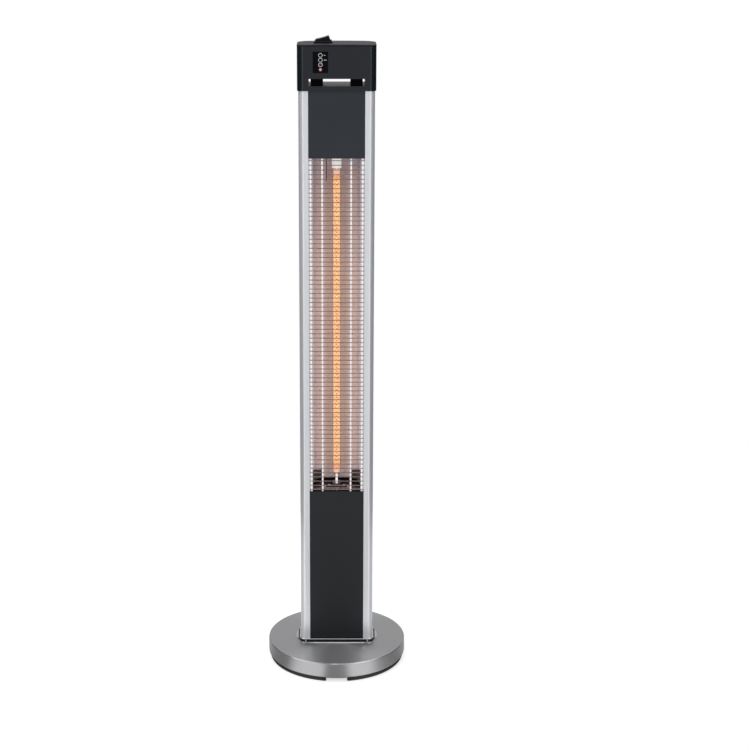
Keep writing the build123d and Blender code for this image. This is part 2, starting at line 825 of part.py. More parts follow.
def lamp_filament():
    """Glowing carbon rope on a thin rod, drawn in by narrow bands."""
    low, high = lamp_bottom + lamp_wall + filament_foot_gap, cap_bottom - filament_head_gap
    filament = upright(0, lamp_y, filament_rod_radius, lamp_bottom + lamp_wall, lamp_top - lamp_wall)
    filament += upright(0, lamp_y, filament_radius - filament_groove_depth, low, high)
    count = int((high - low + filament_groove_length) / filament_segment)
    step = (high - low + filament_groove_length) / count
    for i in range(count):
        start = low + i * step
        filament += upright(0, lamp_y, filament_radius, start, start + step - filament_groove_length)
    return filament


def lamp_cap():
    """White ceramic cap over the tube's upper end."""
    cap = upright(0, lamp_y, lamp_cap_radius, cap_bottom, cap_top)
    return cap - upright(0, lamp_y, lamp_radius + running, cap_bottom - slip, lamp_top)


def lamp_pin():
    """Contact pin from the tube down into the socket."""
    return upright(0, lamp_y, lamp_pin_radius, pin_bottom, lamp_bottom)


def lamp_socket():
    """Ceramic block that grips the pin in a notch open to the front."""
    half_x, half_y = socket_width / 2, socket_depth / 2
    grip = lamp_pin_radius + running
    block_shape = block(-half_x, half_x, lamp_y - half_y, lamp_y + half_y, socket_base, socket_top)
    block_shape -= block(-grip, grip, lamp_y - half_y - slip, lamp_y, pin_bottom, socket_top + slip)
    block_shape -= upright(0, lamp_y, grip, pin_bottom, socket_top + slip)
    return block_shape - upright(0, lamp_y, wire_thickness / 2 + running, socket_base - slip, pin_bottom)


def socket_bracket():
    """Steel plate that carries the socket on the reflector's end plate."""
    front = lamp_y - socket_screw_y - socket_bracket_margin
    back = lamp_y + socket_depth / 2
    half = socket_bracket_width / 2
    low, high = lower_end_top - slip, socket_base + slip
    plate = block(-half, half, front, back, lower_end_top, socket_base)
    plate -= upright(0, lamp_y, wire_thickness / 2 + slip, low, high)
    for side in (-1, 1):
        plate -= upright(side * socket_screw_x, lamp_y - socket_screw_y,
                         socket_screw_radius + screw_play, low, high)
    return plate


def socket_screws():
    one = screw(socket_screw_radius, socket_screw_length, socket_screw_head_radius,
                socket_screw_head_height)
    return [Pos(side * socket_screw_x, lamp_y - socket_screw_y, socket_base) * one for side in (-1, 1)]


# ------------------------------------------------------------------ control head
fascia_bottom = slot_ceiling + fascia_rise
fascia_top = fascia_bottom + fascia_height
fascia_z = (fascia_bottom + fascia_top) / 2
board_half = fascia_width / 2 + board_side_margin
board_low = fascia_bottom - board_end_margin
board_high = fascia_top + board_end_margin


def fascia_slab(growth, y0, y1):
    """The fascia's outline, grown all round, between two planes."""
    shape = RectangleRounded(fascia_width + 2 * growth, fascia_height + 2 * growth,
                             fascia_corner_radius)
    solid = extrude(Plane.XZ * shape, (y1 - y0) / 2, both=True)
    return Pos(fascia_x, (y0 + y1) / 2, fascia_z) * solid


def slot_cut():
    """The slot from front to back, flared over its lower lips."""
    face, radius = -head_front, slot_lip_radius
    profile = Pos(0, (slot_floor + slot_ceiling) / 2) * Rectangle(2 * (face + slip), slot_height)
    for side in (-1, 1):
        corner = Pos(side * (face + (slip - radius) / 2), slot_floor + (slip - radius) / 2)
        curve = Pos(side * (face - radius), slot_floor - radius) * Circle(radius)
        profile += corner * Rectangle(slip + radius, slip + radius) - curve
    return extrude(Plane.YZ * profile, slot_half, both=True)


def board_post_places():
    half, inset = board_half, board_post_inset
    return [(fascia_x + sx * (half - inset), z)
            for sx in (-1, 1) for z in (board_low + inset, board_high - inset)]


def head_body():
    """One moulding: skirt over the column, pillars beside the slot, and the control box."""
    body = prism(outline(head_growth), head_bottom, body_top)
    body -= prism(outline(slip), head_bottom - slip, web_bottom)
    body -= prism(outline(head_growth - head_shell), box_floor, body_top + slip)
    body -= slot_cut()
    body -= pillar_ducts()
    body += head_bosses()
    body -= head_holes()
    body -= fascia_slab(fascia_play, head_front - slip, fascia_back)
    body -= fascia_slab(-fascia_seat, head_front, head_front + head_shell + slip)
    return body - head_vents()


def pillar_ducts():
    """Wire ducts through the two pillars."""
    inner, outer, half = slot_half + head_shell, head_half - head_shell, duct_depth / 2
    return [block(side * inner, side * outer, -half, half, web_bottom - slip, box_floor + slip)
            for side in (-1, 1)]


def head_bosses():
    """Bosses for the lid's screws and posts for the circuit board."""
    made = [upright(x, y, lid_boss_radius, box_floor, body_top - lid_boss_drop - running)
            for x, y in four_corners(lid_boss_x, lid_boss_y)]
    wall = head_front + head_shell
    made += [fore_and_aft(x, z, board_post_radius, wall - slip, board_front)
             for x, z in board_post_places()]
    return made


def head_holes():
    """Holes for the screws through the slot, the lid's screws and the board's screws."""
    made = []
    for x, y in four_corners(post_x, head_screw_y):
        made.append(upright(x, y, head_screw_radius + screw_play, web_bottom - slip, box_floor + slip))
    for x, y in four_corners(lid_boss_x, lid_boss_y):
        made.append(upright(x, y, lid_screw_radius + screw_play, slot_ceiling - slip, body_top))
        made.append(upright(x, y, lid_screw_head_radius + screw_play, web_bottom - slip, slot_ceiling))
    for x, z in board_post_places():
        made.append(fore_and_aft(x, z, board_screw_radius + running,
                                 board_back - board_screw_length - slip, board_front + slip))
    return made


def head_vents():
    """Slots in the back wall of the control box."""
    half = head_half - head_vent_margin
    return [block(-half, half, -head_front - head_shell - slip, -head_front + slip,
                  box_floor + head_vent_rise + i * head_vent_pitch,
                  box_floor + head_vent_rise + i * head_vent_pitch + head_vent_height)
            for i in range(head_vent_count)]


def slot_posts():
    """Black spacer blocks that fill the slot's height at two places."""
    reach = -head_front - post_inset
    post = block(-post_width / 2, post_width / 2, -reach, reach, slot_floor, slot_ceiling)
    post = fillet(post.edges().filter_by(Axis.Z), post_edge_radius)
    for y in (-head_screw_y, head_screw_y):
        post -= upright(0, y, head_screw_radius + screw_play, slot_floor - slip, slot_ceiling + slip)
    return [Pos(side * post_x, 0, 0) * post for side in (-1, 1)]


def head_screws():
    """Long screws from the control box through posts and web into the top plate."""
    length = box_floor - rail_top + head_screw_past
    one = screw(head_screw_radius, length, head_screw_head_radius, head_screw_head_height)
    return [Pos(x, y, box_floor) * one for x, y in four_corners(post_x, head_screw_y)]


def lid_slab():
    """The lid's outer shape: a rim, a slight crown from side to side, and rounded top edges."""
    crown_top = lid_rim_top + lid_crown
    crown_radius = (head_half ** 2 + lid_crown ** 2) / (2 * lid_crown)
    slab = prism(outline(head_growth), lid_bottom, crown_top + slip)
    slab &= Pos(0, 0, crown_top - crown_radius) * Rot(90, 0, 0) * Cylinder(crown_radius, -4 * head_front)
    return fillet(slab.faces().sort_by(Axis.Z)[-1].edges(), lid_edge_radius)


def head_lid():
    """Crowned lid with a shadow gap under its rim, screw bosses, and the switch's seat and hole."""
    boss_bottom, high = body_top - lid_boss_drop, lid_rim_top + lid_crown + slip
    lid = lid_slab() + prism(outline(head_growth - parting_depth), body_top, lid_bottom)
    for x, y in four_corners(lid_boss_x, lid_boss_y):
        lid += upright(x, y, lid_boss_radius, boss_bottom, lid_bottom)
        lid -= upright(x, y, lid_screw_radius + running, boss_bottom - slip,
                       boss_bottom + lid_screw_bite + slip)
    half_x, half_y = bezel_length / 2 + slip, bezel_width / 2 + slip
    hole_x, hole_y = switch_body_length / 2 + slip, switch_body_width / 2 + slip
    cut = block(-half_x, half_x, -half_y, half_y, switch_seat, high)
    cut += block(-hole_x, hole_x, -hole_y, hole_y, body_top - slip, high)
    return lid - Pos(switch_x, switch_y, 0) * cut


def lid_screws():
    """Long screws from under the pillars up into the lid's bosses."""
    length = body_top - lid_boss_drop + lid_screw_bite - slot_ceiling
    one = Rot(180, 0, 0) * screw(lid_screw_radius, length, lid_screw_head_radius,
                                 lid_screw_head_height)
    return [Pos(x, y, slot_ceiling) * one for x, y in four_corners(lid_boss_x, lid_boss_y)]


# ------------------------------------------------------------------ rocker switch
pin_level = switch_seat + rocker_pin_height
frame_top = switch_seat + frame_height


def turned(x, z, degrees):
    """A point of the rocker's profile, turned about the pin: positive lowers the right side."""
    a = math.radians(degrees)
    return x * math.cos(a) + z * math.sin(a), z * math.cos(a) - x * math.sin(a)


def opening_half():
    """Half length of the frame's opening, which clears the pressed end of the rocker."""
    top_x, top_z = turned(rocker_top_half, rocker_top_height, rocker_tilt)
    low_x, low_z = turned(rocker_belly_half, 0, rocker_tilt)
    share = (frame_top - pin_level - low_z) / (top_z - low_z)
    return max(low_x + share * (top_x - low_x), rocker_belly_half) + rocker_end_play


def frame_shape(growth):
    length = 2 * (opening_half() + frame_end_wall + growth)
    width = rocker_width + 2 * (rocker_side_play + frame_side_wall + growth)
    return Rectangle(length, width)


def switch_body():
    """Bezel, raised tapered frame and the body below, with the rocker's cavity and pin holes."""
    bezel_top = switch_seat + bezel_height
    half_y = rocker_width / 2 + rocker_side_play
    body = block(-bezel_length / 2, bezel_length / 2, -bezel_width / 2, bezel_width / 2,
                 switch_seat, bezel_top)
    body += loft([Pos(0, 0, bezel_top) * frame_shape(frame_taper), Pos(0, 0, frame_top) * frame_shape(0)])
    body += block(-switch_body_length / 2, switch_body_length / 2, -switch_body_width / 2,
                  switch_body_width / 2, switch_seat - switch_body_depth, switch_seat)
    body -= block(-opening_half(), opening_half(), -half_y, half_y,
                  switch_seat - switch_cavity_depth, frame_top + slip)
    body = Pos(switch_x, switch_y, 0) * body
    reach = half_y + rocker_pin_grip
    return body - fore_and_aft(switch_x, pin_level, rocker_pin_radius + running,
                               switch_y - reach, switch_y + reach)


def power_rocker():
    """The rocker, left end down and right end up, with a shallow dish in its top."""
    profile = Polygon((-rocker_keel_half, -rocker_keel_drop), (rocker_keel_half, -rocker_keel_drop),
                      (rocker_belly_half, 0), (rocker_top_half, rocker_top_height),
                      (-rocker_top_half, rocker_top_height), (-rocker_belly_half, 0), align=None)
    drop = rocker_dish_radius - math.sqrt(rocker_dish_radius ** 2 - rocker_top_half ** 2)
    profile -= Pos(0, rocker_top_height + rocker_dish_radius - drop) * Circle(rocker_dish_radius)
    profile -= Circle(rocker_pin_radius + running)
    solid = extrude(Plane.XZ * profile, rocker_width / 2, both=True)
    corners = [e for e in solid.edges().filter_by(Axis.Y) if e.center().Z > rocker_top_height / 2]
    solid = fillet(corners, rocker_edge_radius)
    return Pos(switch_x, switch_y, pin_level) * Rot(0, -rocker_tilt, 0) * solid


def rocker_pin():
    reach = rocker_width / 2 + rocker_side_play + rocker_pin_grip
    return fore_and_aft(switch_x, pin_level, rocker_pin_radius, switch_y - reach, switch_y + reach)


def switch_terminals():
    """Flat blades under the switch."""
    top = switch_seat - switch_body_depth
    middle = (terminal_count - 1) / 2
    return [Pos(switch_x + (i - middle) * terminal_pitch, switch_y, top - terminal_length / 2)
            * Box(terminal_width, terminal_sheet, terminal_length) for i in range(terminal_count)]


# ------------------------------------------------------------------ control fascia
def control_level(index):
    """Level of one of the four round controls, counted from the top."""
    return fascia_top - first_ring_drop - index * control_pitch


def control_fascia():
    """Gloss plate set into the head's front, with a hole for each control."""
    plate = fascia_slab(0, fascia_front, fascia_back)
    radii = (button_radius + button_play, button_radius + button_play, receiver_radius + running,
             lamp_lens_radius + running)
    for index, radius in enumerate(radii):
        plate -= fore_and_aft(fascia_x, control_level(index), radius, fascia_front - slip,
                              fascia_back + slip)
    return plate


def fascia_marks():
    """Printed rings around the upper three controls, and two plain bars beside them."""
    made = []
    for index in range(3):
        z = control_level(index)
        ring = fore_and_aft(fascia_x, z, ring_radius, fascia_front - ring_print, fascia_front)
        made.append(ring - fore_and_aft(fascia_x, z, ring_inner_radius, fascia_front - ring_print - slip,
                                        fascia_front + slip))
    for index, length in enumerate((short_mark, long_mark)):
        z = control_level(index)
        left = fascia_x + mark_offset
        made.append(block(left, left + length, fascia_front - ring_print, fascia_front,
                          z - mark_height / 2, z + mark_height / 2))
    return made


def push_button(index):
    """A round cap in the fascia, with a flange behind it and a stem towards its switch."""
    z = control_level(index)
    flange_front = fascia_back + button_rest_gap
    button = fore_and_aft(fascia_x, z, button_radius, fascia_front - button_proud, flange_front)
    button += fore_and_aft(fascia_x, z, button_flange_radius, flange_front, flange_front + button_flange)
    return button + fore_and_aft(fascia_x, z, button_stem_radius, flange_front + button_flange, stem_tip)


def lens(index, radius, proud):
    """A lens pushed into the fascia from behind, against its flange."""
    z = control_level(index)
    return (fore_and_aft(fascia_x, z, radius, fascia_front - proud, fascia_back)
            + fore_and_aft(fascia_x, z, lens_flange_radius, fascia_back, fascia_back + lens_flange))


def receiver_lens():
    return lens(2, receiver_radius, receiver_proud)


def lamp_lens():
    return lens(3, lamp_lens_radius, lamp_lens_proud)


# ------------------------------------------------------------------ board, terminals, wiring
def circuit_board():
    board = block(fascia_x - board_half, fascia_x + board_half, board_front, board_back,
                  board_low, board_high)
    for x, z in board_post_places():
        board -= fore_and_aft(x, z, board_screw_radius + screw_play, board_front - slip,
                              board_back + slip)
    return board


def board_screws():
    one = Rot(-90, 0, 0) * screw(board_screw_radius, board_screw_length, board_screw_head_radius,
                                 board_screw_head_height)
    return [Pos(x, board_back, z) * one for x, z in board_post_places()]


def board_parts():
    """Button switches, the receiver and the light on the board's front face."""
    body_front = board_front - tact_height
    made = []
    for index in range(2):
        z = control_level(index)
        half = tact_size / 2
        body = block(fascia_x - half, fascia_x + half, body_front, board_front, z - half, z + half)
        made.append(body + fore_and_aft(fascia_x, z, tact_plunger_radius,
                                        body_front - tact_plunger_height, body_front))
    for index in (2, 3):
        made.append(fore_and_aft(fascia_x, control_level(index), sensor_radius,
                                 fascia_back + lens_flange + sensor_gap, board_front))
    return made


def relays():
    """Two relays on the board's back face."""
    z = (board_low + board_high) / 2
    offset = (relay_width + relay_gap) / 2
    return [block(fascia_x + side * offset - relay_width / 2, fascia_x + side * offset + relay_width / 2,
                  board_back, board_back + relay_depth, z - relay_height / 2, z + relay_height / 2)
            for side in (-1, 1)]


terminal_block_left = terminal_block_x - terminal_block_width / 2
terminal_block_right = terminal_block_x + terminal_block_width / 2
terminal_level = box_floor + terminal_block_height / 2


def terminal_block():
    """Porcelain strip on the control box's floor where the wires meet."""
    half = terminal_block_depth / 2
    return block(terminal_block_left, terminal_block_right, -half, half, box_floor,
                 box_floor + terminal_block_height)


gland_inner_end = -panel_front - panel_sheet - gland_nut_height - gland_past_nut


def inner_wires():
    """Wires inside: to the tip-over switch, to both lamp ends, and in from the gland."""
    x, y, end = duct_wire_x, duct_wire_y, terminal_level
    tip_end = plate_top + tip_housing_height
    below = guard_bottom + end_plate_drop - shield_margin - 2 * wire_bend
    above = upper_end_bottom + end_plate_sheet + shield_margin + 2 * wire_bend
    turn = bracket_top + 4 * wire_bend
    inlet = gland_inner_end - slip
    routes = [
        [(0, 0, tip_end), (0, 0, turn), (x, -y, turn), (x, -y, end), (terminal_block_right, -y, end)],
        [(0, lamp_y, pin_bottom), (0, lamp_y, below), (x, y, below), (x, y, end),
         (terminal_block_right, y, end)],
        [(0, lamp_y, cap_top), (0, lamp_y, above), (-x, y, above), (-x, y, end),
         (terminal_block_left, y, end)],
        [(0, inlet, gland_level), (0, inlet - 2 * wire_bend, gland_level), (-x, -y, gland_level),
         (-x, -y, end), (terminal_block_left, -y, end)],
    ]
    return [wire(route) for route in routes]


def cable_gland():
    """Bushing for the mains lead: a flange, a tapered tail, a body and its bore."""
    face = -panel_front
    gland = fore_and_aft(0, gland_level, gland_body_radius, gland_inner_end, face)
    gland += fore_and_aft(0, gland_level, gland_flange_radius, face, face + gland_flange)
    tail = Rot(-90, 0, 0) * Cone(gland_body_radius, gland_tail_radius, gland_tail_length)
    gland += Pos(0, face + gland_flange + gland_tail_length / 2, gland_level) * tail
    return gland - fore_and_aft(0, gland_level, gland_bore_radius, gland_inner_end - slip,
                                face + gland_flange + gland_tail_length + slip)


def gland_nut():
    """Hexagon nut inside the rear cover."""
    shape = RegularPolygon(gland_nut_radius, 6) - Circle(gland_body_radius + running)
    nut = extrude(Plane.XZ * shape, gland_nut_height / 2, both=True)
    return Pos(0, -panel_front - panel_sheet - gland_nut_height / 2, gland_level) * nut


# ------------------------------------------------------------------ files
single_nodes = (
    base_cover, base_weight, base_plate, tip_switch_housing, tip_plunger, tip_spring, foot_collar,
    foot_bracket, top_plate, rail_left, rail_right, lower_panel, upper_panel, rear_cover,
    reflector, heat_shield, reflector_end_lower, reflector_end_upper, lamp_tube, lamp_filament,
    lamp_cap, lamp_pin, lamp_socket, socket_bracket, head_body, head_lid, switch_body,
    power_rocker, rocker_pin, control_fascia, receiver_lens, lamp_lens, circuit_board,
    terminal_block, cable_gland, gland_nut,
)
group_nodes = (
    base_feet, base_screws, column_bolts, column_nuts, rail_screws, cover_screws, guard_wires,
    guard_uprights, shield_screws, socket_screws, slot_posts, head_screws, lid_screws,
    switch_terminals, fascia_marks, board_screws, board_parts, relays, inner_wires,
)

os.makedirs("parts", exist_ok=True)
for make in single_nodes:
    write(make.__name__, make())
for make in group_nodes:
    write(make.__name__, *make())
write("power_button", push_button(0))
write("level_button", push_button(1))
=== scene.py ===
"""Infrared patio heater tower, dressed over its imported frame. Sizes are in metres."""
import math

import bmesh
import bpy
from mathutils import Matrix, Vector


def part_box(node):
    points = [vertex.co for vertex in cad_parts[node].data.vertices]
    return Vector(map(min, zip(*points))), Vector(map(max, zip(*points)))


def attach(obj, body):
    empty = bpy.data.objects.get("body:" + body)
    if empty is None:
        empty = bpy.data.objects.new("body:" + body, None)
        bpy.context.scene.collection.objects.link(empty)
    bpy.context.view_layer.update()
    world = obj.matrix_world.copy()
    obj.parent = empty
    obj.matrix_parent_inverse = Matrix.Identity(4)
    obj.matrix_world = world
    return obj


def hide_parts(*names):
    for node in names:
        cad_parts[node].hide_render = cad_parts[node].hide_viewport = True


bl_info = {
    "name": "Patio heater tower",
    "version": (1, 0, 0),
    "blender": (4, 5, 0),
    "location": "3D View > Sidebar > Heater",
    "description": "Finishes, glowing rope and studio for a free-standing infrared heater",
    "category": "Object",
}

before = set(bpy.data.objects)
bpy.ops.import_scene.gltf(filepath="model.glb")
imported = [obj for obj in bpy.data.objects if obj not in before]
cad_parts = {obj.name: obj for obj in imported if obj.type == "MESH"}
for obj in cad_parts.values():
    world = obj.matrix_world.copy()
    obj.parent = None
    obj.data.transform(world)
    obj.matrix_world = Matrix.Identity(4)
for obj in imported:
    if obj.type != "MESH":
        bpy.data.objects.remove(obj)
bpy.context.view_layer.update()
MM = 0.001
IMAGE_SIZE = 750                # pixels along each side of the picture
SHARP_ANGLE = math.radians(35)  # edges that turn further stay crisp


# ------------------------------------------------------------------ settings
def colour(name, description, default):
    return bpy.props.FloatVectorProperty(name=name, description=description, subtype="COLOR",
                                         size=3, min=0, max=1, default=default)


def length(name, description, default):
    return bpy.props.FloatProperty(name=name, description=description, subtype="DISTANCE",
                                   unit="LENGTH", min=0, default=default)


def number(name, description, default, low=0.0, high=10.0, **kind):
    return bpy.props.FloatProperty(name=name, description=description, min=low, max=high,
                                   default=default, **kind)


class HeaterColours(bpy.types.PropertyGroup):
    """Colours of the heater's finishes"""
    steel: colour("Base steel", "Spun steel of the round base", (0.42, 0.42, 0.43))
    iron: colour("Cast iron", "Weight inside the base", (0.07, 0.07, 0.075))
    rubber: colour("Rubber", "Pads under the base", (0.010, 0.010, 0.010))
    housing: colour("White plastic", "Tip-over switch under the base", (0.70, 0.70, 0.67))
    chrome: colour("Chrome", "Collar at the column's foot", (0.66, 0.66, 0.68))
    # painted dark reflection: the collar's groove takes this colour in place of its chrome
    groove: colour("Collar groove", "Blackened groove of the collar", (0.035, 0.035, 0.038))
    flange: colour("Flange", "Middle of the collar's satin flange", (0.36, 0.36, 0.37))
    # painted highlight along the flange's outer rim
    flange_rim_highlight: colour("Flange rim", "Outer rim of the collar's flange", (0.56, 0.56, 0.57))
    # painted dark reflection on the flange's corners beside the collar
    flange_dark_reflection: colour("Flange corners", "Dark corners of the collar's flange", (0.03, 0.03, 0.032))
    rail: colour("Rails", "Anodised aluminium of the column's rails", (0.80, 0.82, 0.85))
    panel: colour("Panels", "Satin black of the upper panel and rear cover", (0.019, 0.024, 0.031))
    wire: colour("Guard wire", "Fine steel wire across the guard", (0.27, 0.24, 0.24))
    upright: colour("Guard upright", "Bright plated rods of the guard", (0.97, 0.93, 0.93))
    reflector: colour("Reflector", "Satin aluminium behind the lamp", (0.93, 0.85, 0.89))
    # the reflector's lower outer corners take this darker tone
    dark_corner: colour("Scorched sheet", "Reflector's browned lower corners", (0.125, 0.088, 0.094))
    # dark tones for the end plate, socket bracket and heat shield at the lamp's foot
    end_plate: colour("End plate", "Browned steel below the reflector", (0.50, 0.39, 0.385))
    bracket: colour("Socket bracket", "Scorched steel that holds the lamp", (0.095, 0.058, 0.052))
    shield: colour("Heat shield", "Blackened steel behind the reflector", (0.025, 0.018, 0.018))
    zinc: colour("Plated steel", "Brackets, screws and nuts", (0.55, 0.55, 0.56))
    nickel: colour("Nickel", "Screws beside the lamp's foot", (0.92, 0.88, 0.86))
    brass: colour("Brass", "Terminals of the rocker switch", (0.70, 0.50, 0.20))
    moulding: colour("Head moulding", "Satin plastic of the head and its lid", (0.005, 0.007, 0.013))
    black: colour("Black plastic", "Slot posts, switch and gland", (0.0025, 0.0025, 0.0035))
    fascia: colour("Fascia", "Gloss black of the control fascia", (0.001, 0.001, 0.002))
    button: colour("Buttons", "Two push buttons on the fascia", (0.001, 0.001, 0.0015))
    receiver: colour("Receiver lens", "Smoked lens on the fascia", (0.02, 0.02, 0.022))
    print_ink: colour("Print", "Rings and marks on the control fascia", (0.62, 0.62, 0.63))
    signal: colour("Signal red", "Lit lens on the control fascia", (0.85, 0.10, 0.10))
    ceramic: colour("Ceramic", "Lamp cap and terminal block", (0.80, 0.78, 0.74))
    pin: colour("Lamp pin", "White ceramic pin at the lamp's foot", (0.90, 0.87, 0.85))
    # a dark tone for the socket under the lamp
    socket: colour("Lamp socket", "Browned ceramic under the lamp", (0.16, 0.13, 0.13))
    quartz: colour("Quartz", "Lamp tube", (1.0, 0.93, 0.90))
    glow: colour("Lamp glow", "Hot carbon rope of the lamp", (1.0, 0.50, 0.16))
    board: colour("Circuit board", "Green lacquer", (0.012, 0.09, 0.035))
    component: colour("Board parts", "Black parts on the circuit board", (0.015, 0.015, 0.016))
    relay: colour("Relays", "Blue relay cases", (0.01, 0.03, 0.10))
    silicone: colour("Inner wires", "Silicone sleeves of the inner wires", (0.60, 0.58, 0.54))


class HeaterSizes(bpy.types.PropertyGroup):
    """Sizes that only the dressed heater has"""
    strand: length("Rope strand", "Radius of one strand of the lamp's rope", 0.95 * MM)
    strand_lay: length("Rope lay", "Length of one turn of a strand", 26 * MM)
    rope_foot: length("Rope foot", "Tube's lower end to the start of the rope", 1.8 * MM)
    rope_top: length("Rope top", "End of the rope to the lamp's cap", 3.0 * MM)
    lead: length("Lamp lead", "Radius of the rod from the rope into the cap", 0.7 * MM)


class HeaterStudio(bpy.types.PropertyGroup):
    """Camera and light"""
    distance: length("Distance", "Camera to the column's axis", 2.769)
    height: length("Height", "Camera above the floor", 1.3032)
    pitch: bpy.props.FloatProperty(name="Pitch", description="Camera's tilt below the horizon",
                                   subtype="ANGLE", default=math.radians(15.0))
    lens: number("Lens", "Focal length in millimetres", 83.09, 10, 300, unit="CAMERA")
    object_column: number("Column in the picture", "Pixel column of the heater's axis",
                          336.65, 0, IMAGE_SIZE, subtype="PIXEL")
    axis_row: number("Axis row", "Pixel row that the lens points at", 341.0, 0, IMAGE_SIZE,
                     subtype="PIXEL")
    sky: number("Surroundings", "Light from all round", 0.62)
    softbox: number("Softboxes", "Brightness of the two softboxes in front", 1.4)
    floor_radius: length("Floor", "Radius of the floor disc", 0.7)
    key: number("Key light", "Power of the large light", 14.0, 0, 500, unit="POWER")
    key_place: bpy.props.FloatVectorProperty(name="Key place", description="Centre of the large light",
                                             subtype="TRANSLATION", unit="LENGTH", size=3,
                                             default=(-0.9, -1.1, 2.5))
    key_width: length("Key width", "Longer side of the large light", 1.8)
    key_depth: length("Key depth", "Shorter side of the large light", 1.2)
    key_aim: length("Key aim", "Height on the column's axis that the large light faces", 0.7)


def colours():
    return bpy.context.scene.heater_colours


# ------------------------------------------------------------------ shader nodes
class Graph:
    """Shader nodes being joined up."""

    def __init__(self, tree):
        self.nodes = tree.nodes
        self.links = tree.links

    def node(self, kind, **settings):
        made = self.nodes.new(kind)
        for name, value in settings.items():
            setattr(made, name, value)
        return made

    def feed(self, socket, value):
        """Gives a socket another node's output, a colour or a number."""
        if isinstance(value, bpy.types.NodeSocket):
            self.links.new(value, socket)
        elif hasattr(value, "__len__"):
            socket.default_value = (*value, 1)
        else:
            socket.default_value = value

    def math(self, operation, *values):
        made = self.node("ShaderNodeMath", operation=operation)
        for socket, value in zip(made.inputs, values):
            self.feed(socket, value)
        return made.outputs["Value"]

    def between(self, value, low, high):
        """One where a value lies between two limits, else nothing."""
        return self.math("MULTIPLY", self.math("GREATER_THAN", value, low),
                         self.math("LESS_THAN", value, high))

    def mix(self, factor, first, second, blend="MIX"):
        """One colour over another; each is a socket or a colour."""
        made = self.node("ShaderNodeMix", data_type="RGBA", blend_type=blend)
        for name, value in (("Factor", factor), ("A", first), ("B", second)):
            self.feed(made.inputs[name], value)
        return made.outputs["Result"]

    def ramp(self, factor, stops):
        """A grey or coloured ramp; each stop is a place and a value or colour."""
        made = self.node("ShaderNodeValToRGB")
        elements = made.color_ramp.elements
        while len(elements) < len(stops):
            elements.new(0.5)
        for element, (place, value) in zip(elements, stops):
            element.position = place
            element.color = (*value, 1) if hasattr(value, "__len__") else (value, value, value, 1)
        self.feed(made.inputs["Fac"], factor)
        return made.outputs["Color"]

    def remap(self, value, span, onto=(0.0, 1.0), kind="LINEAR"):
        """A value moved from one span of numbers onto another."""
        made = self.node("ShaderNodeMapRange", interpolation_type=kind)
        names = ("Value", "From Min", "From Max", "To Min", "To Max")
        for name, given in zip(names, (value, *span, *onto)):
            self.feed(made.inputs[name], given)
        return made.outputs["Result"]

    def turn(self, x, y):
        """Bearing about the upright axis, 0 to 1, with the camera's side at the middle."""
        bearing = self.math("ARCTAN2", x, self.math("MULTIPLY", y, -1.0))
        return self.math("ADD", self.math("DIVIDE", bearing, 2 * math.pi), 0.5)

    def around(self, turn, stops):
        """Brightness at each bearing; stops are in degrees to the right of the camera's side."""
        return self.ramp(turn, [(degrees / 360 + 0.5, value) for degrees, value in stops])

    def rays(self):
        """Masks of the rays that look at the background, and of those that metal mirrors."""
        paths = self.node("ShaderNodeLightPath")
        seen = self.math("MAXIMUM", paths.outputs["Is Camera Ray"],
                         paths.outputs["Is Transmission Ray"])
        return seen, paths.outputs["Is Glossy Ray"]


class Finish(Graph):
    """A material being built: a principled shader and the nodes that feed it."""

    def __init__(self, name, base, roughness, metallic=0.0):
        self.material = bpy.data.materials.new(name)
        self.material.use_nodes = True
        super().__init__(self.material.node_tree)
        self.shader = self.nodes["Principled BSDF"]
        self.base = tuple(base)
        self.set(Base_Color=self.base, Roughness=roughness, Metallic=metallic)
        self.place = self.node("ShaderNodeTexCoord").outputs["Object"]

    def set(self, **sockets):
        """Feeds the shader's sockets, whose names have _ for a space."""
        for name, value in sockets.items():
            self.feed(self.shader.inputs[name.replace("_", " ")], value)
        return self

    def axis(self, letter):
        """One of the object coordinates."""
        made = self.node("ShaderNodeSeparateXYZ")
        self.links.new(self.place, made.inputs["Vector"])
        return made.outputs[letter]

    def stretched(self, scale):
        """Object coordinates, scaled along each axis."""
        made = self.node("ShaderNodeMapping")
        made.inputs["Scale"].default_value = scale
        self.links.new(self.place, made.inputs["Vector"])
        return made.outputs["Vector"]

    def noise(self, scale, detail, vector=None):
        made = self.node("ShaderNodeTexNoise")
        self.feed(made.inputs["Scale"], scale)
        self.feed(made.inputs["Detail"], detail)
        self.feed(made.inputs["Vector"], self.place if vector is None else vector)
        return made.outputs["Fac"]

    def shade(self, factor, low, high):
        """The plain colour times low to high, driven by a factor."""
        dark = tuple(min(1, c * low) for c in self.base)
        light = tuple(min(1, c * high) for c in self.base)
        return self.ramp(factor, [(0.3, dark), (0.7, light)])

    def tint(self, factor, low, high):
        return self.set(Base_Color=self.shade(factor, low, high))

    def roughen(self, factor, low, high):
        return self.set(Roughness=self.ramp(factor, [(0.3, low), (0.7, high)]))

    def bump(self, factor, distance, strength):
        made = self.node("ShaderNodeBump")
        self.feed(made.inputs["Distance"], distance)
        self.feed(made.inputs["Strength"], strength)
        self.feed(made.inputs["Height"], factor)
        return self.set(Normal=made.outputs["Normal"])

    def turned(self):
        """Draws highlights out around the upright axis."""
        made = self.node("ShaderNodeTangent", direction_type="RADIAL", axis="Z")
        return self.set(Tangent=made.outputs["Tangent"])


# ------------------------------------------------------------------ finishes
def brushed(finish, scale):
    """Fine lines drawn out along the axis whose scale is smallest."""
    lines = finish.noise(1.0, 4.0, finish.stretched(scale))
    return finish.tint(lines, 0.95, 1.04).bump(lines, 0.02 * MM, 0.5)


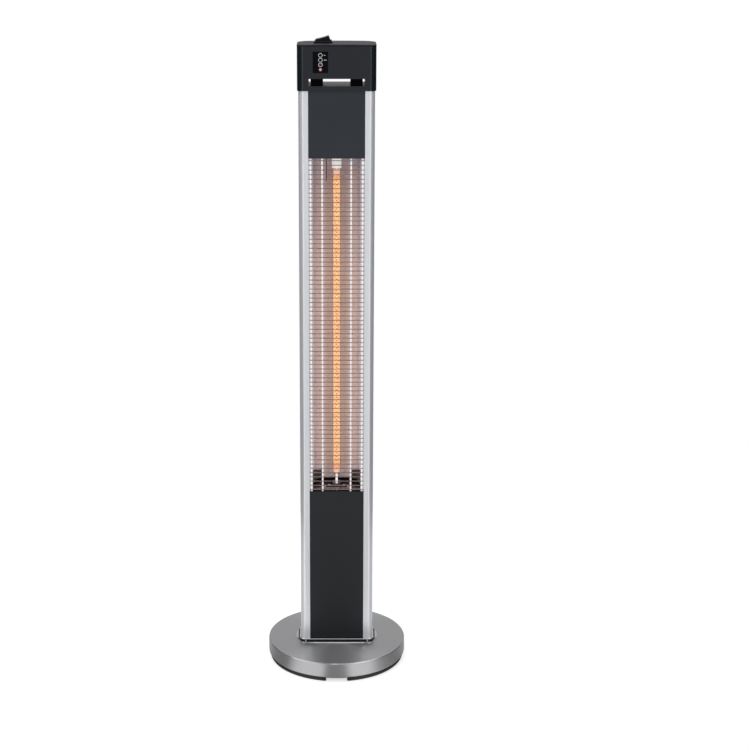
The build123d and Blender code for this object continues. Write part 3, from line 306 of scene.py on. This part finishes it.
def spun_steel():
    """Steel turned on a lathe: fine rings about the upright axis and a polished upper rim."""
    satin, polish = 0.42, 0.16
    ring_scale = 2600.0
    rim_inner, rim_outer, rim_depth = 1.7 * MM, 0.25 * MM, 2.2 * MM
    finish = Finish("spun_steel", colours().steel, satin, 1.0)
    finish.set(Anisotropic=0.9, Anisotropic_Rotation=0.25).turned()
    x, y, z = finish.axis("X"), finish.axis("Y"), finish.axis("Z")
    radius = finish.math("SQRT", finish.math("ADD", finish.math("MULTIPLY", x, x),
                                             finish.math("MULTIPLY", y, y)))
    rings = finish.node("ShaderNodeCombineXYZ")
    finish.feed(rings.inputs["X"], finish.math("MULTIPLY", radius, ring_scale))
    finish.feed(rings.inputs["Z"], finish.math("MULTIPLY", z, ring_scale))
    lines = finish.noise(1.0, 4.0, rings.outputs["Vector"])
    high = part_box("base_cover")[1]
    rim = finish.math("MULTIPLY", finish.between(radius, high.x - rim_inner, high.x - rim_outer),
                      finish.math("GREATER_THAN", z, high.z - rim_depth))
    finish.set(Roughness=finish.mix(rim, (satin,) * 3, (polish,) * 3))
    return finish.tint(lines, 0.93, 1.06).bump(lines, 0.01 * MM, 0.4).material


def rail_aluminium():
    finish = Finish("anodised_rail", colours().rail, 0.26, 0.55).set(Anisotropic=0.2).turned()
    return brushed(finish, (900.0, 900.0, 9.0)).material


def chrome_with_painted_light():
    """Chrome collar: a groove painted dark for a reflection, crossed by two painted highlight lines at
    the corners, on a satin flange.

    The flange has a painted highlight on its rim and painted dark reflections on its corners. The
    groove's band, the lines and the flange's marks are drawn in the colour, and stay in any light.
    """
    lip, groove_foot = 0.9 * MM, 1.9 * MM
    # painted highlights: two bright chrome lines left across the dark groove near the corners
    highlight_line_inset, highlight_line_half = 16.6 * MM, 0.95 * MM
    # the flange's rim is a painted highlight, and its corners inside the rim a painted dark reflection
    rim_inset, dark_reflection_inset = 3.4 * MM, 16.0 * MM
    flange_low, flange_high = 1.1 * MM, 1.25 * MM
    tones = colours()
    finish = Finish("collar_chrome", tones.chrome, 0.12, 1.0)
    low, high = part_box("foot_collar")
    off, z = finish.math("ABSOLUTE", finish.axis("X")), finish.axis("Z")
    smears = finish.noise(55.0, 3.0)
    from_highlight_line = finish.math("ABSOLUTE", finish.math("SUBTRACT", off, high.x - highlight_line_inset))
    # painted dark reflection: the groove between the lips, except at the two highlight lines
    groove = finish.math("MULTIPLY", finish.between(z, low.z + groove_foot, high.z - lip),
                         finish.math("GREATER_THAN", from_highlight_line, highlight_line_half))
    chrome_with_painted_band = finish.mix(groove, finish.shade(smears, 0.95, 1.04), tones.groove)
    satin = finish.mix(finish.math("GREATER_THAN", off, high.x - rim_inset), tones.flange,
                       tones.flange_rim_highlight)
    # painted dark reflection: the flange's corners inside its rim
    corners = finish.between(off, high.x - dark_reflection_inset, high.x - rim_inset)
    satin = finish.mix(corners, satin, tones.flange_dark_reflection)
    flange = finish.between(z, low.z + flange_low, low.z + flange_high)
    finish.set(Base_Color=finish.mix(flange, chrome_with_painted_band, satin))
    return finish.roughen(smears, 0.10, 0.18).material


def reflector_aluminium():
    """Satin sheet with the ripple of rolling.

    Its colour carries painted lamp light by the lamp and painted shade towards the top, and is darker
    in its lower outer corners.
    """
    lamp_light_half, lamp_light_fade = 24 * MM, 110.0
    shade_reach, shade_fade = 0.20, 5.5
    dark_corner_from, dark_corner_height = 22.8 * MM, 15.5 * MM
    dark_corner_depth, dark_corner_slope = 10 * MM, 0.35
    lamp_light_tone, shade_tone = (0.84, 0.735, 0.66), (0.68, 0.66, 0.70)
    finish = Finish("reflector_sheet", colours().reflector, 0.50, 0.5)
    ripple = finish.noise(1.0, 2.0, finish.stretched((30.0, 30.0, 420.0)))
    off, y, z = finish.math("ABSOLUTE", finish.axis("X")), finish.axis("Y"), finish.axis("Z")
    low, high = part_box("reflector")
    # painted lamp light: a tone close to the lamp that fades out across the sheet
    painted_lamp_light = finish.math("MULTIPLY", finish.math("SUBTRACT", lamp_light_half, off), lamp_light_fade)
    sheet = finish.mix(painted_lamp_light, finish.shade(ripple, 0.92, 1.06), lamp_light_tone, "MULTIPLY")
    # painted shade: a duller tone over the top of the sheet
    dull = finish.math("MULTIPLY", finish.math("SUBTRACT", z, high.z - shade_reach), shade_fade)
    sheet = finish.mix(dull, sheet, shade_tone, "MULTIPLY")
    # darker tone in the sheet's lower outer corners
    sunk = finish.math("MULTIPLY", finish.math("SUBTRACT", y, high.y - dark_corner_depth), dark_corner_slope)
    below = finish.math("LESS_THAN", finish.math("ADD", z, sunk), low.z + dark_corner_height)
    dark_corner_mask = finish.math("MULTIPLY", finish.math("GREATER_THAN", off, dark_corner_from), below)
    finish.set(Base_Color=finish.mix(dark_corner_mask, sheet, colours().dark_corner))
    return finish.bump(ripple, 0.05 * MM, 0.4).material


def plated(name, base, roughness=0.32):
    """Plated or bare steel with faint spots."""
    finish = Finish(name, base, roughness, 1.0)
    spots = finish.noise(260.0, 3.0)
    finish.tint(spots, 0.88, 1.08)
    return finish.roughen(spots, roughness * 0.8, roughness * 1.25).material


def nickel_rod():
    """Bright satin nickel with faint draw marks; its emission stands for the lamp's light."""
    finish = Finish("guard_upright", colours().upright, 0.34, 0.15)
    finish.set(Emission_Color=(1.0, 0.90, 0.88), Emission_Strength=0.40)
    return brushed(finish, (900.0, 900.0, 30.0)).material


def powder_coat(name, base, roughness=0.36):
    """Fine, slightly uneven paint."""
    finish = Finish(name, base, roughness).set(Specular_IOR_Level=0.35)
    grain = finish.noise(2400.0, 2.0)
    finish.tint(finish.noise(14.0, 2.0), 0.94, 1.06)
    finish.roughen(grain, roughness * 0.9, roughness * 1.1)
    return finish.bump(grain, 0.02 * MM, 0.35).material


def moulded(name, base, roughness, grain_scale=1500.0, depth=0.03 * MM, shine=0.35):
    """Moulded plastic with a fine spark-eroded grain."""
    finish = Finish(name, base, roughness).set(Specular_IOR_Level=shine)
    grain = finish.noise(grain_scale, 3.0)
    finish.tint(finish.noise(40.0, 2.0), 0.94, 1.06)
    finish.roughen(grain, roughness * 0.88, roughness * 1.12)
    return finish.bump(grain, depth, 0.4).material


def printed():
    """Pale grey print, a little uneven."""
    finish = Finish("fascia_print", colours().print_ink, 0.6)
    return finish.tint(finish.noise(600.0, 2.0), 0.94, 1.04).material


def head_moulding():
    """Satin black, but matt on faces that look up, such as the slot's floor."""
    looks_up, matt = 0.7, 0.34
    finish = Finish("head_moulding", colours().moulding, 0.16).set(Specular_IOR_Level=0.4)
    grain = finish.noise(1500.0, 3.0)
    finish.tint(finish.noise(40.0, 2.0), 0.94, 1.06)
    facing = finish.node("ShaderNodeSeparateXYZ")
    finish.feed(facing.inputs["Vector"], finish.node("ShaderNodeNewGeometry").outputs["Normal"])
    satin = finish.ramp(grain, [(0.3, 0.14), (0.7, 0.19)])
    upward = finish.math("GREATER_THAN", facing.outputs["Z"], looks_up)
    finish.set(Roughness=finish.mix(upward, satin, (matt,) * 3))
    return finish.bump(grain, 0.02 * MM, 0.4).material


def rubber(name, base):
    finish = Finish(name, base, 0.75)
    grain = finish.noise(900.0, 3.0)
    return finish.tint(grain, 0.8, 1.3).bump(grain, 0.05 * MM, 0.5).material


def cast_iron():
    finish = Finish("cast_iron", colours().iron, 0.7, 0.6)
    grain = finish.noise(500.0, 6.0)
    return finish.tint(grain, 0.7, 1.3).bump(grain, 0.2 * MM, 0.7).material


def glazed(name, base, glow=0.0):
    """Ceramic with faint specks; a glow stands for the lamp's light on it."""
    finish = Finish(name, base, 0.35)
    finish.set(Emission_Color=(1.0, 0.96, 0.93), Emission_Strength=glow)
    finish.tint(finish.noise(320.0, 4.0), 0.94, 1.05)
    return finish.bump(finish.noise(120.0, 2.0), 0.03 * MM, 0.3).material


def quartz():
    finish = Finish("quartz_tube", colours().quartz, 0.04)
    finish.set(Transmission_Weight=1.0, IOR=1.45)
    return finish.roughen(finish.noise(90.0, 2.0), 0.02, 0.07).material


def warmth(finish, foot, top):
    """One between the rope's ends, falling to nothing at each."""
    foot_fade, top_fade, softness = 22 * MM, 18 * MM, 0.2
    z = finish.axis("Z")
    rise = finish.math("DIVIDE", finish.math("SUBTRACT", z, foot), foot_fade)
    fall = finish.math("DIVIDE", finish.math("SUBTRACT", top, z), top_fade)
    ends = [finish.math("SMOOTH_MIN", 1.0, end, softness) for end in (rise, fall)]
    return finish.math("MAXIMUM", 0.0, finish.math("MULTIPLY", *ends))


def hot(name, foot, top, dark, bright):
    """Carbon at working heat, uneven along its length and a dull pale pink at its ends."""
    end_tone = (0.64, 0.44, 0.40)
    finish = Finish(name, colours().glow, 0.8)
    heat = finish.noise(420.0, 3.0)
    glow = finish.ramp(finish.math("MULTIPLY", heat, warmth(finish, foot, top)),
                       [(0.05, end_tone), (0.34, dark), (0.58, bright)])
    finish.set(Emission_Color=glow, Emission_Strength=1.0)
    return finish.tint(heat, 0.3, 0.7).material


def lit_lens():
    """Red lens, washed out at its lit middle."""
    lens_radius = 2.75 * MM
    finish = Finish("lit_lens", colours().signal, 0.2)
    centre = middle("lamp_lens")
    off = [finish.math("SUBTRACT", finish.axis(letter), place)
           for letter, place in (("X", centre.x), ("Z", centre.z))]
    away = finish.math("SQRT", finish.math("ADD", *(finish.math("MULTIPLY", way, way) for way in off)))
    glow = finish.ramp(finish.math("DIVIDE", away, lens_radius),
                       [(0.35, (0.60, 0.63, 0.73)), (0.55, (0.34, 0.22, 0.27)),
                        (0.90, (0.10, 0.01, 0.02))])
    finish.set(Emission_Color=glow, Emission_Strength=0.75)
    return finish.tint(finish.noise(700.0, 2.0), 0.2, 0.3).material


def circuit_lacquer():
    finish = Finish("board_lacquer", colours().board, 0.35)
    tracks = finish.noise(1.0, 0.0, finish.stretched((380.0, 380.0, 900.0)))
    return finish.tint(tracks, 0.7, 1.6).bump(tracks, 0.03 * MM, 0.5).material


# ------------------------------------------------------------------ pieces
def dress(material, *nodes):
    """Gives CAD nodes their finish."""
    for name in nodes:
        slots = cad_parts[name].data.materials
        slots.clear()
        slots.append(material)


def placed(name, data):
    """A new object in the scene."""
    made = bpy.data.objects.new(name, data)
    bpy.context.scene.collection.objects.link(made)
    return made


def piece(name, mesh, material, body, slot, *nodes):
    """A finished mesh that rides on a body, takes the given finish and stands for CAD nodes. Its slot
    is not used.
    """
    work = bpy.data.meshes.new(name)
    mesh.to_mesh(work)
    mesh.free()
    made = placed(name, work)
    work.materials.append(material)
    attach(made, body)
    if nodes:
        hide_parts(*nodes)
    for polygon in work.polygons:
        polygon.use_smooth = True
    work.set_sharp_from_angle(angle=SHARP_ANGLE)


def middle(node):
    low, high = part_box(node)
    return (low + high) / 2


def tubes(mesh, runs, radius, sides):
    """Adds closed round tubes to the mesh, one along each run of points."""
    data = bpy.data.curves.new("route", "CURVE")
    data.dimensions = "3D"
    data.bevel_depth = radius
    data.bevel_resolution = sides // 2 - 2
    data.use_fill_caps = True
    for points in runs:
        spline = data.splines.new("POLY")
        spline.points.add(len(points) - 1)
        for knot, point in zip(spline.points, points):
            knot.co = (*point, 1)
    route = bpy.data.objects.new("route", data)
    work = bpy.data.meshes.new_from_object(route)
    mesh.from_mesh(work)
    bmesh.ops.remove_doubles(mesh, verts=mesh.verts[:], dist=0.001 * MM)
    bmesh.ops.recalc_face_normals(mesh, faces=mesh.faces[:])
    bpy.data.meshes.remove(work)
    bpy.data.objects.remove(route)
    bpy.data.curves.remove(data)


STRAND_COUNT = 4                # strands of each hand
STRAND_SIDES = 6                # sides of a strand's section
STRAND_STEPS = 4                # points from one crossing to the next
STRAND_DIP = 0.55               # how far a strand sinks at a crossing, in its own radii


def strand_route(low, high, axis, reach, first, hand):
    """One strand of a round braid: a helix that rises and sinks as it crosses the others."""
    chosen = bpy.context.scene.heater_sizes
    strand, lay = chosen.strand, chosen.strand_lay
    steps = round((high - low) * STRAND_STEPS * STRAND_COUNT / lay)
    points = []
    for i in range(steps + 1):
        rise = (high - low) * i / steps
        turn = 2 * math.pi * (rise / lay + first / STRAND_COUNT)
        weave = math.cos(2 * math.pi * STRAND_COUNT * rise / lay + math.pi * (first + (hand > 0)))
        radius = reach - strand - STRAND_DIP * strand * (1 - weave) / 2
        points.append(Vector((axis.x + radius * math.cos(hand * turn),
                              axis.y + radius * math.sin(hand * turn), low + rise)))
    return points


class HeaterOperator:
    """Shared by the heater's operators"""
    bl_options = {"REGISTER", "UNDO"}


class HEATER_OT_base(HeaterOperator, bpy.types.Operator):
    """Round base: spun steel cover, rubber pads, plate, weight and tip-over switch"""
    bl_idname = "heater.base"
    bl_label = "Base"

    def execute(self, context):
        tones = context.scene.heater_colours
        dress(spun_steel(), "base_cover")
        dress(rubber("pad_rubber", tones.rubber), "base_feet")
        dress(plated("plate_zinc", tones.zinc, 0.4), "base_plate")
        dress(cast_iron(), "base_weight")
        dress(moulded("switch_housing_white", tones.housing, 0.45),
              "tip_switch_housing", "tip_plunger")
        return {"FINISHED"}


class HEATER_OT_collar(HeaterOperator, bpy.types.Operator):
    """Chrome collar on a satin flange, with painted dark reflections in its groove and on the flange's
    corners, and painted highlights at its corners and on the flange's rim
    """
    bl_idname = "heater.collar"
    bl_label = "Collar"

    def execute(self, context):
        dress(chrome_with_painted_light(), "foot_collar")
        return {"FINISHED"}


class HEATER_OT_column(HeaterOperator, bpy.types.Operator):
    """Column: aluminium rails, black front panels and rear cover"""
    bl_idname = "heater.column"
    bl_label = "Column"

    def execute(self, context):
        tone = context.scene.heater_colours.panel
        # painted shade: the lower panel takes the upper panel's paint, made darker
        lower_panel_shade = 0.38      # the lower panel is darker
        dress(rail_aluminium(), "rail_left", "rail_right")
        dress(powder_coat("panel_coat", tone), "upper_panel", "rear_cover")
        dress(powder_coat("lower_panel_shaded_coat", [lower_panel_shade * c for c in tone]), "lower_panel")
        return {"FINISHED"}


class HEATER_OT_guard(HeaterOperator, bpy.types.Operator):
    """Wire guard in front of the lamp"""
    bl_idname = "heater.guard"
    bl_label = "Guard"

    def execute(self, context):
        dress(plated("guard_wire", context.scene.heater_colours.wire, 0.30), "guard_wires")
        dress(nickel_rod(), "guard_uprights")
        return {"FINISHED"}


class HEATER_OT_reflector(HeaterOperator, bpy.types.Operator):
    """Reflector trough, its end plates, the heat shield and the brackets"""
    bl_idname = "heater.reflector"
    bl_label = "Reflector"

    def execute(self, context):
        tones = context.scene.heater_colours
        dress(reflector_aluminium(), "reflector", "reflector_end_upper")
        # dark tones for the bracket, end plate and shield at the lamp's foot
        dress(plated("dark_bracket_steel", tones.bracket, 0.38), "socket_bracket")
        dress(plated("end_plate_steel", tones.end_plate, 0.45), "reflector_end_lower")
        dress(plated("dark_shield_steel", tones.shield, 0.5), "heat_shield")
        dress(plated("bracket_zinc", tones.zinc), "foot_bracket", "top_plate")
        return {"FINISHED"}


class HEATER_OT_lamp(HeaterOperator, bpy.types.Operator):
    """Quartz lamp with its glowing rope, cap, pin and socket, and the ceramic terminal block"""
    bl_idname = "heater.lamp"
    bl_label = "Lamp"

    def execute(self, context):
        tones = context.scene.heater_colours
        dress(quartz(), "lamp_tube")
        self.braid(context.scene.heater_sizes)
        dress(glazed("lamp_ceramic", tones.ceramic, glow=0.45), "lamp_cap")
        dress(glazed("pin_ceramic", tones.pin, glow=0.6), "lamp_pin")
        dress(glazed("socket_ceramic", tones.socket), "lamp_socket")
        dress(glazed("block_ceramic", tones.ceramic), "terminal_block")
        return {"FINISHED"}

    def braid(self, chosen):
        """Glowing rope of strands that pass over and under one another, on a core with a lead."""
        core_inset = 2.4 * chosen.strand
        low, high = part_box("lamp_filament")
        axis, reach = middle("lamp_filament"), (high.x - low.x) / 2
        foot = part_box("lamp_tube")[0].z + chosen.rope_foot
        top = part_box("lamp_cap")[0].z - chosen.rope_top
        rope = bmesh.new()
        tubes(rope, [strand_route(foot, top, axis, reach, first, hand)
                     for hand in (-1, 1) for first in range(STRAND_COUNT)],
              chosen.strand, STRAND_SIDES)
        glowing = hot("glowing_rope", foot, top, (0.71, 0.34, 0.13), (0.90, 0.69, 0.36))
        piece("lamp_rope", rope, glowing, "tower", "glowing_carbon")
        core = bmesh.new()
        for start, end, radius, sides in ((foot, top, reach - core_inset, 20),
                                          (top, high.z, chosen.lead, 10)):
            tubes(core, [[Vector((axis.x, axis.y, z)) for z in (start, end)]], radius, sides)
        dim = hot("glowing_core", foot, top, (0.30, 0.08, 0.02), (0.50, 0.16, 0.04))
        piece("lamp_core", core, dim, "tower", "glowing_carbon", "lamp_filament")


class HEATER_OT_head(HeaterOperator, bpy.types.Operator):
    """Head moulding, lid and the posts in its slot"""
    bl_idname = "heater.head"
    bl_label = "Head"

    def execute(self, context):
        tones = context.scene.heater_colours
        post_share = 0.4        # the posts are darker than the other black plastic
        dress(head_moulding(), "head_body")
        dress(moulded("lid_moulding", tones.moulding, 0.50, shine=0.3), "head_lid")
        dress(moulded("post_black", [post_share * c for c in tones.black], 0.6, shine=0.02),
              "slot_posts")
        return {"FINISHED"}


class HEATER_OT_switch(HeaterOperator, bpy.types.Operator):
    """Rocker switch in its raised frame"""
    bl_idname = "heater.switch"
    bl_label = "Rocker switch"

    def execute(self, context):
        tones = context.scene.heater_colours
        dress(moulded("switch_black", tones.black, 0.30, 2500.0, 0.01 * MM, 0.14),
              "switch_body", "power_rocker")
        dress(plated("terminal_brass", tones.brass, 0.3), "switch_terminals")
        return {"FINISHED"}


class HEATER_OT_controls(HeaterOperator, bpy.types.Operator):
    """Control fascia with its print, buttons and lenses"""
    bl_idname = "heater.controls"
    bl_label = "Controls"

    def execute(self, context):
        tones = context.scene.heater_colours
        dress(moulded("fascia_gloss", tones.fascia, 0.12, 300.0, 0.005 * MM, 0.08),
              "control_fascia")
        dress(printed(), "fascia_marks")
        dress(moulded("button_black", tones.button, 0.3, shine=0.04),
              "power_button", "level_button")
        dress(moulded("receiver_window", tones.receiver, 0.15), "receiver_lens")
        dress(lit_lens(), "lamp_lens")
        return {"FINISHED"}


class HEATER_OT_fixings(HeaterOperator, bpy.types.Operator):
    """Screws, bolts, nuts, spring and the rocker's pin"""
    bl_idname = "heater.fixings"
    bl_label = "Fixings"

    def execute(self, context):
        tones = context.scene.heater_colours
        dress(plated("fixing_zinc", tones.zinc), "base_screws", "column_bolts", "column_nuts",
              "tip_spring", "rail_screws", "cover_screws", "shield_screws", "head_screws",
              "lid_screws", "rocker_pin", "board_screws")
        dress(plated("screw_nickel", tones.nickel, 0.4), "socket_screws")
        return {"FINISHED"}


class HEATER_OT_wiring(HeaterOperator, bpy.types.Operator):
    """Circuit board, its parts, the inner wires and the cable gland"""
    bl_idname = "heater.wiring"
    bl_label = "Wiring"

    def execute(self, context):
        tones = context.scene.heater_colours
        dress(circuit_lacquer(), "circuit_board")
        dress(moulded("board_part_black", tones.component, 0.4), "board_parts")
        dress(moulded("relay_case", tones.relay, 0.35), "relays")
        dress(rubber("wire_silicone", tones.silicone), "inner_wires")
        dress(moulded("gland_black", tones.black, 0.5), "cable_gland", "gland_nut")
        return {"FINISHED"}


# ------------------------------------------------------------------ studio
# What metal mirrors below the horizon, above it, overhead and on the floor: brightness at each
# bearing, in degrees to the right of the camera's side.
LOW_BAND = [(-180, 1.0), (-152, 1.0), (-142, 0.06), (-28, 0.06), (-23, 1.0), (-9, 1.0),
            (-6, 0.52), (6, 0.52), (9, 1.0), (23, 1.0), (28, 0.06), (142, 0.06),
            (152, 1.0), (180, 1.0)]
HIGH_BAND = [(-180, 0.62), (-140, 0.60), (-125, 0.10), (-82, 0.10), (-76, 1.0), (-24, 1.0),
             (-18, 0.02), (12, 0.02), (18, 1.0), (62, 1.0), (68, 0.10), (125, 0.10),
             (140, 0.60), (180, 0.62)]
DOME = [(-180, 1.2), (-166, 1.1), (-152, 0.60), (-90, 0.92), (-74, 0.90), (-52, 0.40),
        (-36, 0.22), (-22, 0.12), (-14, 0.30), (-8, 0.90), (8, 0.90), (14, 0.30), (24, 0.12),
        (36, 0.28), (56, 0.72), (74, 0.88), (90, 0.92), (152, 0.60), (166, 1.1), (180, 1.2)]
FLOOR_BAND = [(-180, 0.30), (-95, 0.25), (-76, 0.06), (-57, 0.06), (-43, 0.72), (-16, 0.86),
              (-9, 0.06), (9, 0.06), (16, 0.86), (32, 0.82), (52, 0.30), (74, 0.06),
              (95, 0.25), (180, 0.30)]
# Spans of a direction's rise or depth over which one part of the surroundings gives way to another.
HORIZON = (-0.06, 0.06)         # low band to high band
ZENITH = (0.40, 0.60)           # high band to dome
FRONT = (0.0, -0.15)            # behind the heater to its front
SOFTBOX_FOOT = (-0.42, -0.12)   # softboxes dim towards their feet
FOOT_SHARE = 0.8                # brightness of a softbox at its foot
UPPER_LIFT = 0.9                # added to the softboxes above the horizon
FLOOR_LIFT = 0.6                # makes the lit floor as white as the background


class World(Graph):
    """The studio's surroundings being built."""

    def __init__(self):
        world = bpy.data.worlds.new("studio")
        bpy.context.scene.world = world
        world.use_nodes = True
        super().__init__(world.node_tree)
        self.nodes.clear()

    def step(self, value, span):
        return self.remap(value, span, kind="SMOOTHSTEP")

    def light(self, tone, strength):
        made = self.node("ShaderNodeBackground")
        self.feed(made.inputs["Color"], tone)
        self.feed(made.inputs["Strength"], strength)
        return made.outputs["Background"]

    def blend(self, factor, first, second):
        made = self.node("ShaderNodeMixShader")
        for socket, value in zip(made.inputs, (factor, first, second)):
            self.feed(socket, value)
        return made.outputs["Shader"]


def studio_world(strength, softbox):
    """White to the eye and plain light on the heater.

    Glossy rays alone see drawn bands instead, brighter than white in places: two wide
    softboxes in front with a dark gap between them, a pale room behind and a dome with a
    bright strip.
    """
    world = World()
    white = (1, 1, 1)
    direction = world.node("ShaderNodeSeparateXYZ")
    world.feed(direction.inputs["Vector"], world.node("ShaderNodeTexCoord").outputs["Generated"])
    rise = direction.outputs["Z"]
    turn = world.turn(direction.outputs["X"], direction.outputs["Y"])
    above = world.step(rise, HORIZON)
    bands = world.mix(above, world.around(turn, LOW_BAND), world.around(turn, HIGH_BAND))
    bands = world.mix(world.step(rise, ZENITH), bands, world.around(turn, DOME))
    boxes = world.remap(rise, SOFTBOX_FOOT, (FOOT_SHARE * softbox, softbox))
    boxes = world.math("ADD", boxes, world.math("MULTIPLY", above, UPPER_LIFT))
    mirrored = world.blend(world.step(direction.outputs["Y"], FRONT), world.light(bands, 1.0),
                           world.light(bands, boxes))
    seen, glossy = world.rays()
    plain = world.blend(glossy, world.light(white, strength), mirrored)
    output = world.node("ShaderNodeOutputWorld")
    world.feed(output.inputs["Surface"], world.blend(seen, plain, world.light(white, 1.0)))


def floor_finish():
    """Pale floor that meets the white surroundings; metal sees two bright sheets lying on it."""
    finish = Finish("studio_floor", (0.80, 0.80, 0.80), 0.9)
    seen, glossy = finish.rays()
    pale = finish.ramp(finish.noise(3.0, 2.0), [(0.3, 0.79), (0.7, 0.81)])
    sheets = finish.around(finish.turn(finish.axis("X"), finish.axis("Y")), FLOOR_BAND)
    lift = finish.math("MAXIMUM", finish.math("MULTIPLY", seen, FLOOR_LIFT),
                       finish.math("MULTIPLY", glossy, sheets))
    finish.set(Base_Color=finish.mix(glossy, pale, (0.50, 0.50, 0.50)),
               Emission_Color=(1, 1, 1), Emission_Strength=lift)
    return finish.material


class HEATER_OT_stage(HeaterOperator, bpy.types.Operator):
    """Pale floor, soft light, white surroundings and the camera"""
    bl_idname = "heater.stage"
    bl_label = "Stage"

    def execute(self, context):
        studio = context.scene.heater_studio
        studio_world(studio.sky, studio.softbox)
        self.floor(studio)
        self.key(studio)
        self.camera(studio)
        context.scene.view_settings.view_transform = "Standard"
        return {"FINISHED"}

    def floor(self, studio):
        mesh = bmesh.new()
        bmesh.ops.create_circle(mesh, cap_ends=True, segments=96, radius=studio.floor_radius)
        work = bpy.data.meshes.new("floor")
        mesh.to_mesh(work)
        mesh.free()
        floor = placed("floor", work)
        work.materials.append(floor_finish())

    def key(self, studio):
        data = bpy.data.lights.new("key", "AREA")
        data.shape = "RECTANGLE"
        data.size = studio.key_width
        data.size_y = studio.key_depth
        data.energy = studio.key
        key = placed("key", data)
        key.visible_glossy = False
        key.location = studio.key_place
        key.rotation_mode = "QUATERNION"
        aim = Vector((0, 0, studio.key_aim)) - key.location
        key.rotation_quaternion = aim.to_track_quat("-Z", "Y")

    def camera(self, studio):
        data = bpy.data.cameras.new("camera")
        data.lens = studio.lens
        data.shift_x = (IMAGE_SIZE / 2 - studio.object_column) / IMAGE_SIZE
        data.shift_y = (studio.axis_row - IMAGE_SIZE / 2) / IMAGE_SIZE
        camera = placed("camera", data)
        camera.location = (0, -studio.distance, studio.height)
        camera.rotation_euler = (math.pi / 2 - studio.pitch, 0, 0)
        bpy.context.scene.camera = camera


# ------------------------------------------------------------------ panel and registration
STEPS = (HEATER_OT_base, HEATER_OT_collar, HEATER_OT_column, HEATER_OT_guard, HEATER_OT_reflector,
         HEATER_OT_lamp, HEATER_OT_head, HEATER_OT_switch, HEATER_OT_controls, HEATER_OT_fixings,
         HEATER_OT_wiring, HEATER_OT_stage)
GROUPS = {"heater_colours": HeaterColours, "heater_sizes": HeaterSizes, "heater_studio": HeaterStudio}


class HEATER_PT_sidebar(bpy.types.Panel):
    """Lists the heater's steps and settings"""
    bl_idname = "HEATER_PT_sidebar"
    bl_label = "Heater"
    bl_space_type = "VIEW_3D"
    bl_region_type = "UI"
    bl_category = "Heater"

    def draw(self, context):
        for step in STEPS:
            self.layout.operator(step.bl_idname)
        for name, group in GROUPS.items():
            settings = getattr(context.scene, name)
            for field in group.__annotations__:
                self.layout.prop(settings, field)


CLASSES = (*GROUPS.values(), *STEPS, HEATER_PT_sidebar)


def register():
    for cls in CLASSES:
        bpy.utils.register_class(cls)
    for name, group in GROUPS.items():
        setattr(bpy.types.Scene, name, bpy.props.PointerProperty(type=group))


def unregister():
    for name in GROUPS:
        delattr(bpy.types.Scene, name)
    for cls in reversed(CLASSES):
        bpy.utils.unregister_class(cls)


def main():
    register()
    for step in STEPS:
        family, name = step.bl_idname.split(".")
        getattr(getattr(bpy.ops, family), name)()


if __name__ == "__main__":
    main()
